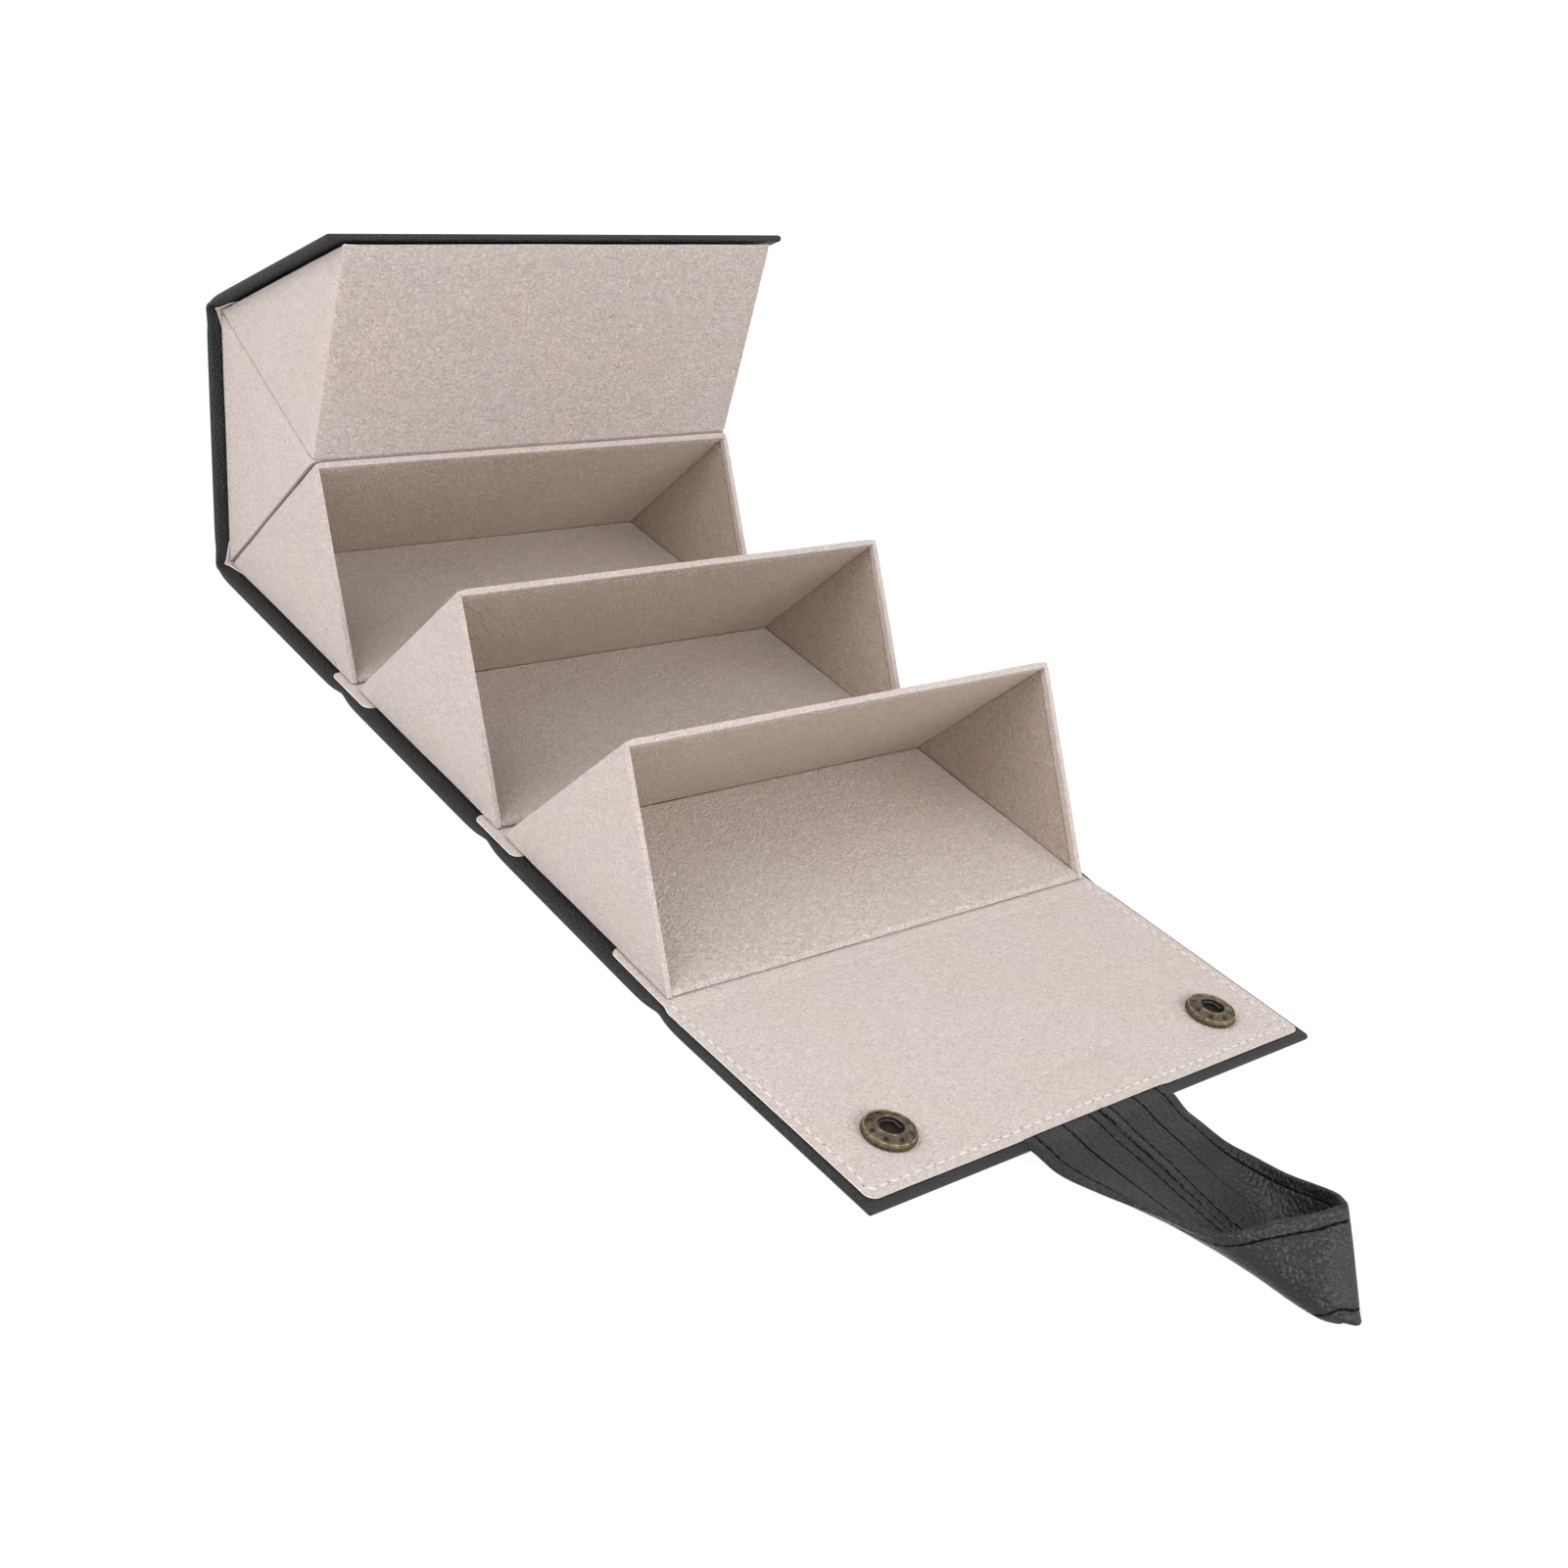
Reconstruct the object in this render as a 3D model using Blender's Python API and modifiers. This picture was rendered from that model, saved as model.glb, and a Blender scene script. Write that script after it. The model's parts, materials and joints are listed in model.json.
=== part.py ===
"""Roll-up sunglasses box.

Five open triangular trays stand on one folding cover. The cover rolls up until the
trays meet in a five-sided prism, and a snap flap with a strap handle closes it.
"""
import math

import bmesh
import bpy
from mathutils import Matrix, Vector

# Trays
TRAY_LETTERS = "abcde"
TRAY_WIDTH = 0.165
TRAY_SIDE = 0.0812
TRAY_WALL = 0.0018
TRAY_SPACING = 0.0016
PIECE_GAP = 0.0003
BOARD_ROUND = 0.0004

# Cover: a skin folded round a stiff board under every tray, with a crease between
COVER_OVERHANG = 0.005
COVER_THICK = 0.0024
SKIN_THICK = 0.00045
SKIN_TURN_IN = 0.014
SKIN_ROUND = 0.0006
BOND_GAP = 0.00015
SKIN_CREASE_GAP = 0.0004
BOARD_CREASE_GAP = 0.003
COVER_SETBACK = 0.0005

# Suede strips glued across the creases, under the trays
LINING_THICK = 0.0004
LINING_CREASE_GAP = 0.0016
REAR_STRIP_OVERHANG = 0.0012
FRONT_STRIP_OVERHANG = 0.003
STRIP_REAR = 0.0092
STRIP_FRONT = 0.012
STRIP_CORNER = 0.0025

# Flap
FLAP_HINGE_AHEAD = 0.0046
FLAP_REST_TILT = 2.8
LINING_END_MARGIN = 0.0026
LINING_CORNER = 0.005
TONGUE_REAR = 0.022

# Snap fasteners
SNAP_FROM_TRAY_END = 0.0183
SNAP_FROM_FLAP_END = 0.0196
STUD_FROM_CREASE = 0.01822
SNAP_RADIUS = 0.0075
SOCKET_HEIGHT = 0.0030
SOCKET_BORE = 0.0034
SOCKET_CHAMFER = 0.0005
POST_RADIUS = 0.0019
POST_HOLE_EASE = 0.0003
POST_FLARE = 0.0028
POST_FLARE_THICK = 0.0004
CAP_DOME = 0.0014
CAP_RIM = 0.0004
SPRING_WIRE = 0.00022
SPRING_HALF_WIDTH = 0.00275
SPRING_HALF_LENGTH = 0.0014
SPRING_LEVEL = 0.0018
STUD_FLANGE_RADIUS = 0.0062
STUD_FLANGE = 0.0008
STUD_RADIUS = 0.0022
STUD_HEIGHT = 0.0026
STUD_NECK = 0.0018
RIVET_RADIUS = 0.004
RIVET_THICK = 0.00035
SNAP_CLEARANCE = 0.0008

# Strap handle
STRAP_WIDTH = 0.0266
STRAP_THICK = 0.0016
STRAP_OFF_CENTRE = -0.003
STRAP_LEG_GAP = 0.0008
STRAP_REACH = 0.0765
STRAP_RISE = 0.0214
STRAP_TAB = 0.017
STRAP_SLOT_EASE = 0.0004
STRAP_FLEX_AHEAD = 0.0012
STRAP_TAB_AHEAD = 0.0005
STRAP_START = 0.0002
STRAP_FALL_SHARE = 0.6
GROUND_EASE = 0.00002

# Strap sections, chosen by hand from one root round the tip to the other. A section bends
# from the strap's inner edge past an elbow to its outer edge. Each of the three points is
# across, along and up, in shares of the strap's width, reach and rise.
STRAP_LEFT_SHARES = (
    ((0.00, 0.00, 0.00), (-0.50, 0.00, 0.00), (-1.00, 0.00, 0.00)),
    ((0.09, 0.11, 0.00), (-0.42, 0.12, 0.00), (-0.95, 0.12, 0.00)),
    ((0.15, 0.23, 0.00), (-0.40, 0.26, -0.04), (-0.89, 0.24, 0.07)),
    ((0.17, 0.34, 0.00), (-0.40, 0.40, -0.03), (-0.76, 0.33, 0.17)),
    ((0.17, 0.43, 0.00), (-0.34, 0.50, 0.00), (-0.68, 0.41, 0.28)),
    ((0.15, 0.55, 0.00), (-0.23, 0.64, 0.00), (-0.60, 0.52, 0.38)),
    ((0.15, 0.65, 0.00), (-0.23, 0.75, 0.00), (-0.44, 0.61, 0.51)),
    ((0.14, 0.77, 0.00), (-0.29, 0.88, 0.00), (-0.10, 0.67, 0.70)),
    ((0.11, 0.87, 0.00), (-0.19, 0.97, 0.00), (0.14, 0.71, 0.80)),
    ((0.20, 0.95, 0.00), (0.00, 1.02, 0.05), (0.35, 0.75, 0.91)),
    ((0.38, 1.00, 0.00), (0.33, 0.94, 0.30), (0.58, 0.77, 0.98)),
    ((0.47, 1.00, 0.00), (0.57, 0.89, 0.50), (0.67, 0.78, 1.00)),
)
STRAP_RIGHT_SHARES = (
    ((0.47, 0.96, 0.00), (0.59, 0.85, 0.49), (0.71, 0.74, 0.99)),
    ((0.41, 0.86, 0.00), (0.68, 0.79, 0.33), (0.74, 0.67, 0.87)),
    ((0.27, 0.69, 0.00), (0.70, 0.63, 0.10), (0.81, 0.53, 0.62)),
    ((0.17, 0.54, 0.00), (0.62, 0.46, 0.03), (0.90, 0.39, 0.40)),
    ((0.16, 0.39, 0.00), (0.59, 0.32, 0.00), (0.97, 0.26, 0.18)),
    ((0.14, 0.24, 0.00), (0.53, 0.19, 0.00), (1.01, 0.13, 0.05)),
    ((0.08, 0.11, 0.00), (0.51, 0.09, 0.00), (1.01, 0.07, 0.00)),
    ((0.00, 0.00, 0.00), (0.50, 0.00, 0.00), (1.00, 0.00, 0.00)),
)
STRAP_STEPS_PER_SECTION = 4
STRAP_STEPS_ACROSS = 6

# Angles and lengths that follow from the sizes above
SIDES = 5
ROLL = 360 / SIDES
HALF_CORNER = math.radians(90 - ROLL / 2)
TRAY_HEIGHT = TRAY_SIDE / 2 * math.tan(HALF_CORNER)
PITCH = TRAY_SIDE + TRAY_SPACING
TRAY_BASE = 2 * BOND_GAP + LINING_THICK
LINING_TOP = BOND_GAP + LINING_THICK
COVER_HALF_WIDTH = TRAY_WIDTH / 2 + COVER_OVERHANG
BOARD_INSET = SKIN_THICK + BOND_GAP
FLAP_HINGE = TRAY_SPACING / 2 + TRAY_SIDE + FLAP_HINGE_AHEAD
SNAP_SPREAD = TRAY_WIDTH / 2 - SNAP_FROM_TRAY_END

# The closed flap. Its hinge lies a little beyond the rolled-up prism's corner, and the
# sockets' tops have to meet the studs, which stand on the outside of the first tray's cover
BEYOND_CORNER = FLAP_HINGE - PITCH
SOCKET_TOP = LINING_TOP + BOND_GAP + SOCKET_HEIGHT
HINGE_TO_STUD = PITCH - BEYOND_CORNER * math.cos(math.radians(ROLL)) - STUD_FROM_CREASE
HINGE_TO_SOCKET_TOP = (
    COVER_THICK + STUD_FLANGE + SNAP_CLEARANCE - BEYOND_CORNER * math.sin(math.radians(ROLL))
)
SNAP_ALONG = math.sqrt(HINGE_TO_STUD ** 2 + HINGE_TO_SOCKET_TOP ** 2 - SOCKET_TOP ** 2)
FLAP_LENGTH = SNAP_ALONG + SNAP_FROM_FLAP_END

STRAP_LEVEL = -(COVER_THICK - SKIN_THICK) / 2
STRAP_HALF_SPAN = STRAP_LEG_GAP / 2 + STRAP_WIDTH

# Modelling aids: how far a cutter runs past a face, and the welding distance
CUT_OVERRUN = 0.002
MERGE_DISTANCE = 0.00001
SNAP_FACETS = 28

SUEDE_COLOUR = (0.62, 0.55, 0.49, 1)
LEATHER_COLOUR = (0.035, 0.035, 0.037, 1)
BOARD_COLOUR = (0.30, 0.27, 0.23, 1)
BRASS_COLOUR = (0.28, 0.21, 0.11, 1)
STEEL_COLOUR = (0.55, 0.55, 0.55, 1)

# Local axes for an outline: upright across the box, or lying flat
ACROSS = Matrix(((0, 0, -1), (-1, 0, 0), (0, 1, 0))).to_4x4()
FLAT = Matrix(((1, 0, 0), (0, -1, 0), (0, 0, -1))).to_4x4()


def clear_scene():
    for thing in list(bpy.data.objects):
        bpy.data.objects.remove(thing, do_unlink=True)


def new_collection(name):
    group = bpy.data.collections.new(name)
    bpy.context.scene.collection.children.link(group)
    return group


def new_material(name, colour, roughness, metallic):
    material = bpy.data.materials.new(name)
    material.use_nodes = True
    shader = material.node_tree.nodes["Principled BSDF"]
    shader.inputs["Base Color"].default_value = colour
    shader.inputs["Roughness"].default_value = roughness
    shader.inputs["Metallic"].default_value = metallic
    material.diffuse_color = colour
    return material


def place(x, along, height):
    """A point in a body's own frame: along runs from the first tray towards the flap."""
    return Vector((x, -along, height))


def add_object(name, data, group, body, local, material=None):
    thing = bpy.data.objects.new(name, data)
    group.objects.link(thing)
    thing.parent = body
    thing.matrix_local = local
    if material is not None:
        data.materials.append(material)
    return thing


def add_empty(name, group, parent, location, roll_degrees):
    empty = bpy.data.objects.new(name, None)
    group.objects.link(empty)
    empty.parent = parent
    empty.location = location
    empty.rotation_euler.x = math.radians(roll_degrees)
    return empty


def weld_and_round(thing, width):
    weld = thing.modifiers.new("weld", "WELD")
    weld.merge_threshold = MERGE_DISTANCE
    rounding = thing.modifiers.new("rounding", "BEVEL")
    rounding.width = width
    rounding.segments = 2
    rounding.limit_method = "ANGLE"
    rounding.angle_limit = math.radians(30)


def outline_piece(name, points, thickness, axes, centre, group, body, material, width):
    """A flat outline given half its thickness each way along its own third axis."""
    data = bpy.data.curves.new(name, "CURVE")
    data.dimensions = "2D"
    data.fill_mode = "BOTH"
    data.extrude = thickness / 2
    spline = data.splines.new("POLY")
    spline.points.add(len(points) - 1)
    for point, (first, second) in zip(spline.points, points):
        point.co = (first, second, 0, 1)
    spline.use_cyclic_u = True
    local = Matrix.Translation(centre) @ axes
    thing = add_object(name, data, group, body, local, material)
    weld_and_round(thing, width)
    return thing


def box_mesh(name, low, high):
    mesh = bpy.data.meshes.new(name)
    shape = bmesh.new()
    bmesh.ops.create_cube(shape, size=1)
    size = high - low
    stretch = Matrix.Diagonal(Vector((abs(size.x), abs(size.y), abs(size.z), 1)))
    bmesh.ops.transform(shape, matrix=Matrix.Translation((low + high) / 2) @ stretch, verts=shape.verts)
    shape.to_mesh(mesh)
    shape.free()
    return mesh


def add_cutter(name, mesh, cutters, body, local=None):
    cutter = add_object(name, mesh, cutters, body, local or Matrix.Identity(4))
    cutter.hide_render = True
    cutter.display_type = "WIRE"
    return cutter


def cut(thing, cutter):
    boolean = thing.modifiers.new(cutter.name, "BOOLEAN")
    boolean.operation = "DIFFERENCE"
    boolean.solver = "EXACT"
    boolean.object = cutter


def box_cutter(thing, name, low, high, cutters, body):
    cut(thing, add_cutter(name, box_mesh(name, low, high), cutters, body))


def round_cutter(thing, name, radius, centre, depth, cutters, body):
    mesh = bpy.data.meshes.new(name)
    shape = bmesh.new()
    bmesh.ops.create_cone(
        shape, cap_ends=True, segments=24, radius1=radius, radius2=radius, depth=depth
    )
    shape.to_mesh(mesh)
    shape.free()
    cut(thing, add_cutter(name, mesh, cutters, body, Matrix.Translation(centre)))


def rounded_outline(half_width, rear, front, rear_corner, front_corner):
    """A flat outline with a rounded corner at each end of its rear and front edges."""
    turns = 4
    points = []
    corners = (
        (half_width, rear, rear_corner, -90),
        (half_width, front, front_corner, 0),
        (-half_width, front, front_corner, 90),
        (-half_width, rear, rear_corner, 180),
    )
    for x, along, corner, start in corners:
        if corner == 0:
            points.append((x, along))
            continue
        centre_x = x - math.copysign(corner, x)
        inward = corner if along == rear else -corner
        for step in range(turns + 1):
            angle = math.radians(start + 90 * step / turns)
            points.append((centre_x + corner * math.cos(angle), along + inward + corner * math.sin(angle)))
    return points


def wall_across(distance):
    """Length along the floor that a sloping wall of this thickness covers."""
    return distance / math.sin(HALF_CORNER)


def make_tray(letter, start, group, body, suede):
    """Floor, back wall and two end caps. start is the tray's back edge in the body's frame."""
    slope = math.tan(HALF_CORNER)
    base = TRAY_BASE
    apex = (start + TRAY_SIDE / 2, base + TRAY_HEIGHT)
    end_cap = ((start, base), (start + TRAY_SIDE, base), apex)
    cap_x = (TRAY_WIDTH - TRAY_WALL) / 2
    for side, x in (("left", -cap_x), ("right", cap_x)):
        outline_piece(f"tray_{letter}_{side}_end", end_cap, TRAY_WALL, ACROSS, place(x, 0, 0),
                      group, body, suede, BOARD_ROUND)

    inner_width = TRAY_WIDTH - 2 * (TRAY_WALL + PIECE_GAP)
    foot = start + wall_across(TRAY_WALL)
    top_cut = TRAY_WALL / math.sin(math.radians(ROLL))
    mouth_top = (apex[0] + top_cut * math.cos(HALF_CORNER), apex[1] - top_cut * math.sin(HALF_CORNER))
    back = ((start, base), (foot, base), mouth_top, apex)
    outline_piece(f"tray_{letter}_back_wall", back, inner_width, ACROSS, place(0, 0, 0),
                  group, body, suede, BOARD_ROUND)

    heel = start + wall_across(TRAY_WALL + PIECE_GAP)
    toe = start + TRAY_SIDE
    lean = TRAY_WALL / slope
    floor = ((heel, base), (toe, base), (toe - lean, base + TRAY_WALL), (heel + lean, base + TRAY_WALL))
    outline_piece(f"tray_{letter}_floor", floor, inner_width, ACROSS, place(0, 0, 0),
                  group, body, suede, BOARD_ROUND)


def make_cover(name, rear, front, rear_wrapped, front_wrapped, group, cutters, body, leather, board):
    """A board in its folded skin. A wrapped end is turned in; the others run on into a crease."""
    low = place(-COVER_HALF_WIDTH, front, -COVER_THICK)
    high = place(COVER_HALF_WIDTH, rear, 0)
    skin = add_object(f"cover_skin_{name}", box_mesh(f"cover_skin_{name}", low, high), group, body,
                      Matrix.Identity(4), leather)
    rounding = skin.modifiers.new("rounding", "BEVEL")
    rounding.width = SKIN_ROUND
    rounding.segments = 2

    rear_in = rear + SKIN_THICK if rear_wrapped else rear - CUT_OVERRUN
    front_in = front - SKIN_THICK if front_wrapped else front + CUT_OVERRUN
    inside = COVER_HALF_WIDTH - SKIN_THICK
    box_cutter(skin, f"{name}_board_pocket",
               place(-inside, front_in, SKIN_THICK - COVER_THICK), place(inside, rear_in, -SKIN_THICK),
               cutters, body)
    rear_window = rear + SKIN_TURN_IN if rear_wrapped else rear - CUT_OVERRUN
    front_window = front - SKIN_TURN_IN if front_wrapped else front + CUT_OVERRUN
    window = COVER_HALF_WIDTH - SKIN_TURN_IN
    box_cutter(skin, f"{name}_open_middle",
               place(-window, front_window, -COVER_THICK / 2), place(window, rear_window, CUT_OVERRUN),
               cutters, body)

    crease_inset = (BOARD_CREASE_GAP - SKIN_CREASE_GAP) / 2
    rear_board = rear + (BOARD_INSET if rear_wrapped else crease_inset)
    front_board = front - (BOARD_INSET if front_wrapped else crease_inset)
    half = COVER_HALF_WIDTH - BOARD_INSET
    stiffener = add_object(
        f"cover_board_{name}",
        box_mesh(f"cover_board_{name}", place(-half, front_board, BOARD_INSET - COVER_THICK),
                 place(half, rear_board, -BOARD_INSET)),
        group, body, Matrix.Identity(4), board)
    return skin, stiffener


def make_strip(name, overhang, rear, front, rear_corner, front_corner, group, body, suede):
    outline = rounded_outline(TRAY_WIDTH / 2 + overhang, rear, front, rear_corner, front_corner)
    level = BOND_GAP + LINING_THICK / 2
    return outline_piece(name, outline, LINING_THICK, FLAT, place(0, 0, level), group, body, suede,
                         LINING_THICK / 4)


def turned_piece(name, profile, group, body, centre, material):
    """A profile of radius and height points, listed down its outer side, turned about its axis."""
    mesh = bpy.data.meshes.new(name)
    points = [(radius, 0, height) for radius, height in profile]
    edges = [(index, index + 1) for index in range(len(points) - 1)]
    is_ring = profile[0][0] > 0
    if is_ring:
        edges.append((len(points) - 1, 0))
    mesh.from_pydata(points, edges, [])
    thing = add_object(name, mesh, group, body, Matrix.Translation(centre), material)
    screw = thing.modifiers.new("turning", "SCREW")
    screw.axis = "Z"
    screw.angle = math.tau
    screw.steps = SNAP_FACETS
    screw.render_steps = SNAP_FACETS
    screw.use_merge_vertices = True
    screw.merge_threshold = MERGE_DISTANCE
    screw.use_smooth_shade = True


def make_snap_socket(side, x, group, body, brass, steel):
    """Socket ring on the flap's lining, its spring wire, and the cap whose post clamps it."""
    seat = LINING_TOP + BOND_GAP
    centre = place(x, SNAP_ALONG, seat)
    chamfer = SOCKET_CHAMFER
    ring = (
        (SOCKET_BORE, SOCKET_HEIGHT - chamfer),
        (SOCKET_BORE + chamfer, SOCKET_HEIGHT),
        (SNAP_RADIUS - 2 * chamfer, SOCKET_HEIGHT),
        (SNAP_RADIUS, SOCKET_HEIGHT - chamfer),
        (SNAP_RADIUS, SOCKET_HEIGHT / 3),
        (SNAP_RADIUS - chamfer, 0),
        (SOCKET_BORE, 0),
    )
    turned_piece(f"snap_socket_{side}", ring, group, body, centre, brass)

    wire = bpy.data.curves.new(f"snap_spring_{side}", "CURVE")
    wire.dimensions = "3D"
    wire.bevel_depth = SPRING_WIRE
    wire.bevel_resolution = 2
    wire.use_fill_caps = True
    bow = math.hypot(SPRING_HALF_WIDTH, SPRING_HALF_LENGTH)
    corner = math.atan2(SPRING_HALF_LENGTH, SPRING_HALF_WIDTH)
    route = [(-SPRING_HALF_WIDTH, -SPRING_HALF_LENGTH)]
    steps = 8
    for step in range(steps + 1):
        angle = math.pi - corner - (math.pi - 2 * corner) * step / steps
        route.append((bow * math.cos(angle), bow * math.sin(angle)))
    route.append((SPRING_HALF_WIDTH, -SPRING_HALF_LENGTH))
    spline = wire.splines.new("POLY")
    spline.points.add(len(route) - 1)
    for point, (across, along) in zip(spline.points, route):
        point.co = (across, along, 0, 1)
    middle = place(x, SNAP_ALONG, seat + SPRING_LEVEL)
    add_object(f"snap_spring_{side}", wire, group, body, Matrix.Translation(middle), steel)

    under = -COVER_THICK - BOND_GAP
    top = seat + POST_FLARE_THICK + BOND_GAP
    cap = (
        (0, top),
        (POST_FLARE, top),
        (POST_FLARE, top - POST_FLARE_THICK),
        (POST_RADIUS, top - POST_FLARE_THICK),
        (POST_RADIUS, under),
        (SNAP_RADIUS - CAP_RIM, under),
        (SNAP_RADIUS, under - CAP_RIM),
        (SNAP_RADIUS * 0.75, under - CAP_DOME * 0.8),
        (0, under - CAP_DOME),
    )
    turned_piece(f"snap_cap_{side}", cap, group, body, place(x, SNAP_ALONG, 0), brass)


def make_snap_stud(side, x, along, group, body, brass):
    """Stud on the outside of the first tray's cover, riveted through to the inside."""
    face = -COVER_THICK - BOND_GAP
    tip = face - STUD_FLANGE - STUD_HEIGHT
    rivet_low = BOND_GAP
    stud = (
        (0, rivet_low + RIVET_THICK),
        (POST_RADIUS - POST_HOLE_EASE, rivet_low + RIVET_THICK),
        (POST_RADIUS - POST_HOLE_EASE, face),
        (STUD_FLANGE_RADIUS, face),
        (STUD_FLANGE_RADIUS, face - STUD_FLANGE / 2),
        (STUD_FLANGE_RADIUS - STUD_FLANGE / 2, face - STUD_FLANGE),
        (STUD_NECK, face - STUD_FLANGE),
        (STUD_NECK, face - STUD_FLANGE - STUD_HEIGHT / 3),
        (STUD_RADIUS, face - STUD_FLANGE - STUD_HEIGHT / 2),
        (STUD_NECK, tip),
        (0, tip),
    )
    turned_piece(f"snap_stud_{side}", stud, group, body, place(x, along, 0), brass)
    ring = (
        (POST_RADIUS, rivet_low + RIVET_THICK),
        (RIVET_RADIUS, rivet_low + RIVET_THICK),
        (RIVET_RADIUS, rivet_low),
        (POST_RADIUS, rivet_low),
    )
    turned_piece(f"stud_rivet_{side}", ring, group, body, place(x, along, 0), brass)


def smooth_between(before, start, end, after, share):
    """Catmull-Rom value between start and end."""
    return 0.5 * (
        2 * start
        + (end - before) * share
        + (2 * before - 5 * start + 4 * end - after) * share ** 2
        + (3 * start - before - 3 * end + after) * share ** 3
    )


def strap_sections():
    """The hand-set sections, with smooth ones worked out between them."""
    rows = []
    for leg, shares in ((-1, STRAP_LEFT_SHARES), (1, STRAP_RIGHT_SHARES)):
        root = STRAP_OFF_CENTRE + leg * STRAP_LEG_GAP / 2
        for points in shares:
            row = []
            for across, along, up in points:
                row.extend((root + across * STRAP_WIDTH, along, up * STRAP_RISE))
            rows.append(row)
    last = len(rows) - 1
    sections = []
    for index in range(last):
        around = [rows[max(0, min(last, index + offset))] for offset in (-1, 0, 1, 2)]
        for step in range(STRAP_STEPS_PER_SECTION):
            share = step / STRAP_STEPS_PER_SECTION
            sections.append([smooth_between(*values, share) for values in zip(*around)])
    sections.append(rows[last])
    return sections


def make_strap(group, body, axis_height, leather):
    """The free part of the strap, from one root out round the tip and back to the other."""
    mesh = bpy.data.meshes.new("handle_loop")
    shape = bmesh.new()
    lowest = STRAP_THICK / 2 + GROUND_EASE
    drop = axis_height - lowest
    grid = []
    for row in strap_sections():
        points = []
        for across, along, up in zip(row[0::3], row[1::3], row[2::3]):
            fallen = max(0, 1 - along / STRAP_FALL_SHARE) ** 2
            points.append(Vector((across, along * STRAP_REACH + STRAP_START, lowest + drop * fallen + up)))
        inner, elbow, outer = points
        line = []
        for step in range(STRAP_STEPS_ACROSS + 1):
            share = step / STRAP_STEPS_ACROSS
            point = (1 - share) ** 2 * inner + 2 * share * (1 - share) * elbow + share ** 2 * outer
            line.append(shape.verts.new(place(point.x, point.y, max(lowest, point.z) - axis_height)))
        grid.append(line)
    for line, following in zip(grid, grid[1:]):
        for step in range(STRAP_STEPS_ACROSS):
            shape.faces.new((line[step], line[step + 1], following[step + 1], following[step]))
    shape.to_mesh(mesh)
    shape.free()
    mesh.shade_smooth()
    strap = add_object("handle_loop", mesh, group, body, Matrix.Identity(4), leather)
    shell = strap.modifiers.new("thickness", "SOLIDIFY")
    shell.thickness = STRAP_THICK
    shell.offset = 0
    return strap


def make_flap(group, cutters, body, suede, leather, board, brass, steel):
    skin, stiffener = make_cover("flap", SKIN_CREASE_GAP / 2, FLAP_LENGTH, False, True,
                                 group, cutters, body, leather, board)
    lining_half = TRAY_WIDTH / 2 + FRONT_STRIP_OVERHANG
    lining_level = BOND_GAP + LINING_THICK / 2
    outline = rounded_outline(lining_half, LINING_CREASE_GAP / 2, FLAP_LENGTH - LINING_END_MARGIN,
                              0, LINING_CORNER)
    lining = outline_piece("flap_lining", outline, LINING_THICK, FLAT, place(0, 0, lining_level),
                           group, body, suede, LINING_THICK / 4)
    lining_mesh = bpy.data.meshes.new_from_object(
        lining.evaluated_get(bpy.context.evaluated_depsgraph_get()))
    local = lining.matrix_local.copy()
    bpy.data.objects.remove(lining, do_unlink=True)
    lining = add_object("flap_lining", lining_mesh, group, body, local)

    hole = POST_RADIUS + POST_HOLE_EASE
    for side, x in (("left", -SNAP_SPREAD), ("right", SNAP_SPREAD)):
        make_snap_socket(side, x, group, body, brass, steel)
        for piece in (skin, stiffener, lining):
            round_cutter(piece, f"{piece.name}_{side}_post_hole", hole, place(x, SNAP_ALONG, 0),
                         4 * COVER_THICK, cutters, body)

    slot_left = STRAP_OFF_CENTRE - STRAP_HALF_SPAN - STRAP_SLOT_EASE
    slot_right = STRAP_OFF_CENTRE + STRAP_HALF_SPAN + STRAP_SLOT_EASE
    slot_rear = FLAP_LENGTH - STRAP_TAB - STRAP_SLOT_EASE
    slot_low = place(slot_left, FLAP_LENGTH + CUT_OVERRUN, SKIN_THICK - COVER_THICK)
    slot_high = place(slot_right, slot_rear, CUT_OVERRUN)
    box_cutter(skin, "flap_skin_strap_slot", slot_low, slot_high, cutters, body)
    board_low = place(slot_left, FLAP_LENGTH + CUT_OVERRUN, -COVER_THICK - CUT_OVERRUN)
    box_cutter(stiffener, "flap_board_strap_notch", board_low, slot_high, cutters, body)
    for side, sign in (("left", -1), ("right", 1)):
        near = STRAP_OFF_CENTRE + sign * STRAP_LEG_GAP / 2
        far = STRAP_OFF_CENTRE + sign * STRAP_HALF_SPAN
        low = place(min(near, far), FLAP_LENGTH + STRAP_TAB_AHEAD, STRAP_LEVEL - STRAP_THICK / 2)
        high = place(max(near, far), FLAP_LENGTH - STRAP_TAB, STRAP_LEVEL + STRAP_THICK / 2)
        name = f"handle_root_{side}"
        add_object(name, box_mesh(name, low, high), group, body, Matrix.Identity(4), leather)


def stand_on_base_centre(frame, group):
    """Move the whole box so that the middle of its footprint is the origin."""
    bpy.context.view_layer.update()
    graph = bpy.context.evaluated_depsgraph_get()
    low = Vector((math.inf,) * 3)
    high = -low
    for thing in group.objects:
        if thing.type == "EMPTY":
            continue
        shown = thing.evaluated_get(graph)
        mesh = shown.to_mesh()
        for vertex in mesh.vertices:
            point = thing.matrix_world @ vertex.co
            low = Vector(map(min, low, point))
            high = Vector(map(max, high, point))
        shown.to_mesh_clear()
    frame.location = -Vector(((low.x + high.x) / 2, (low.y + high.y) / 2, low.z))
    bpy.context.view_layer.update()


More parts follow.
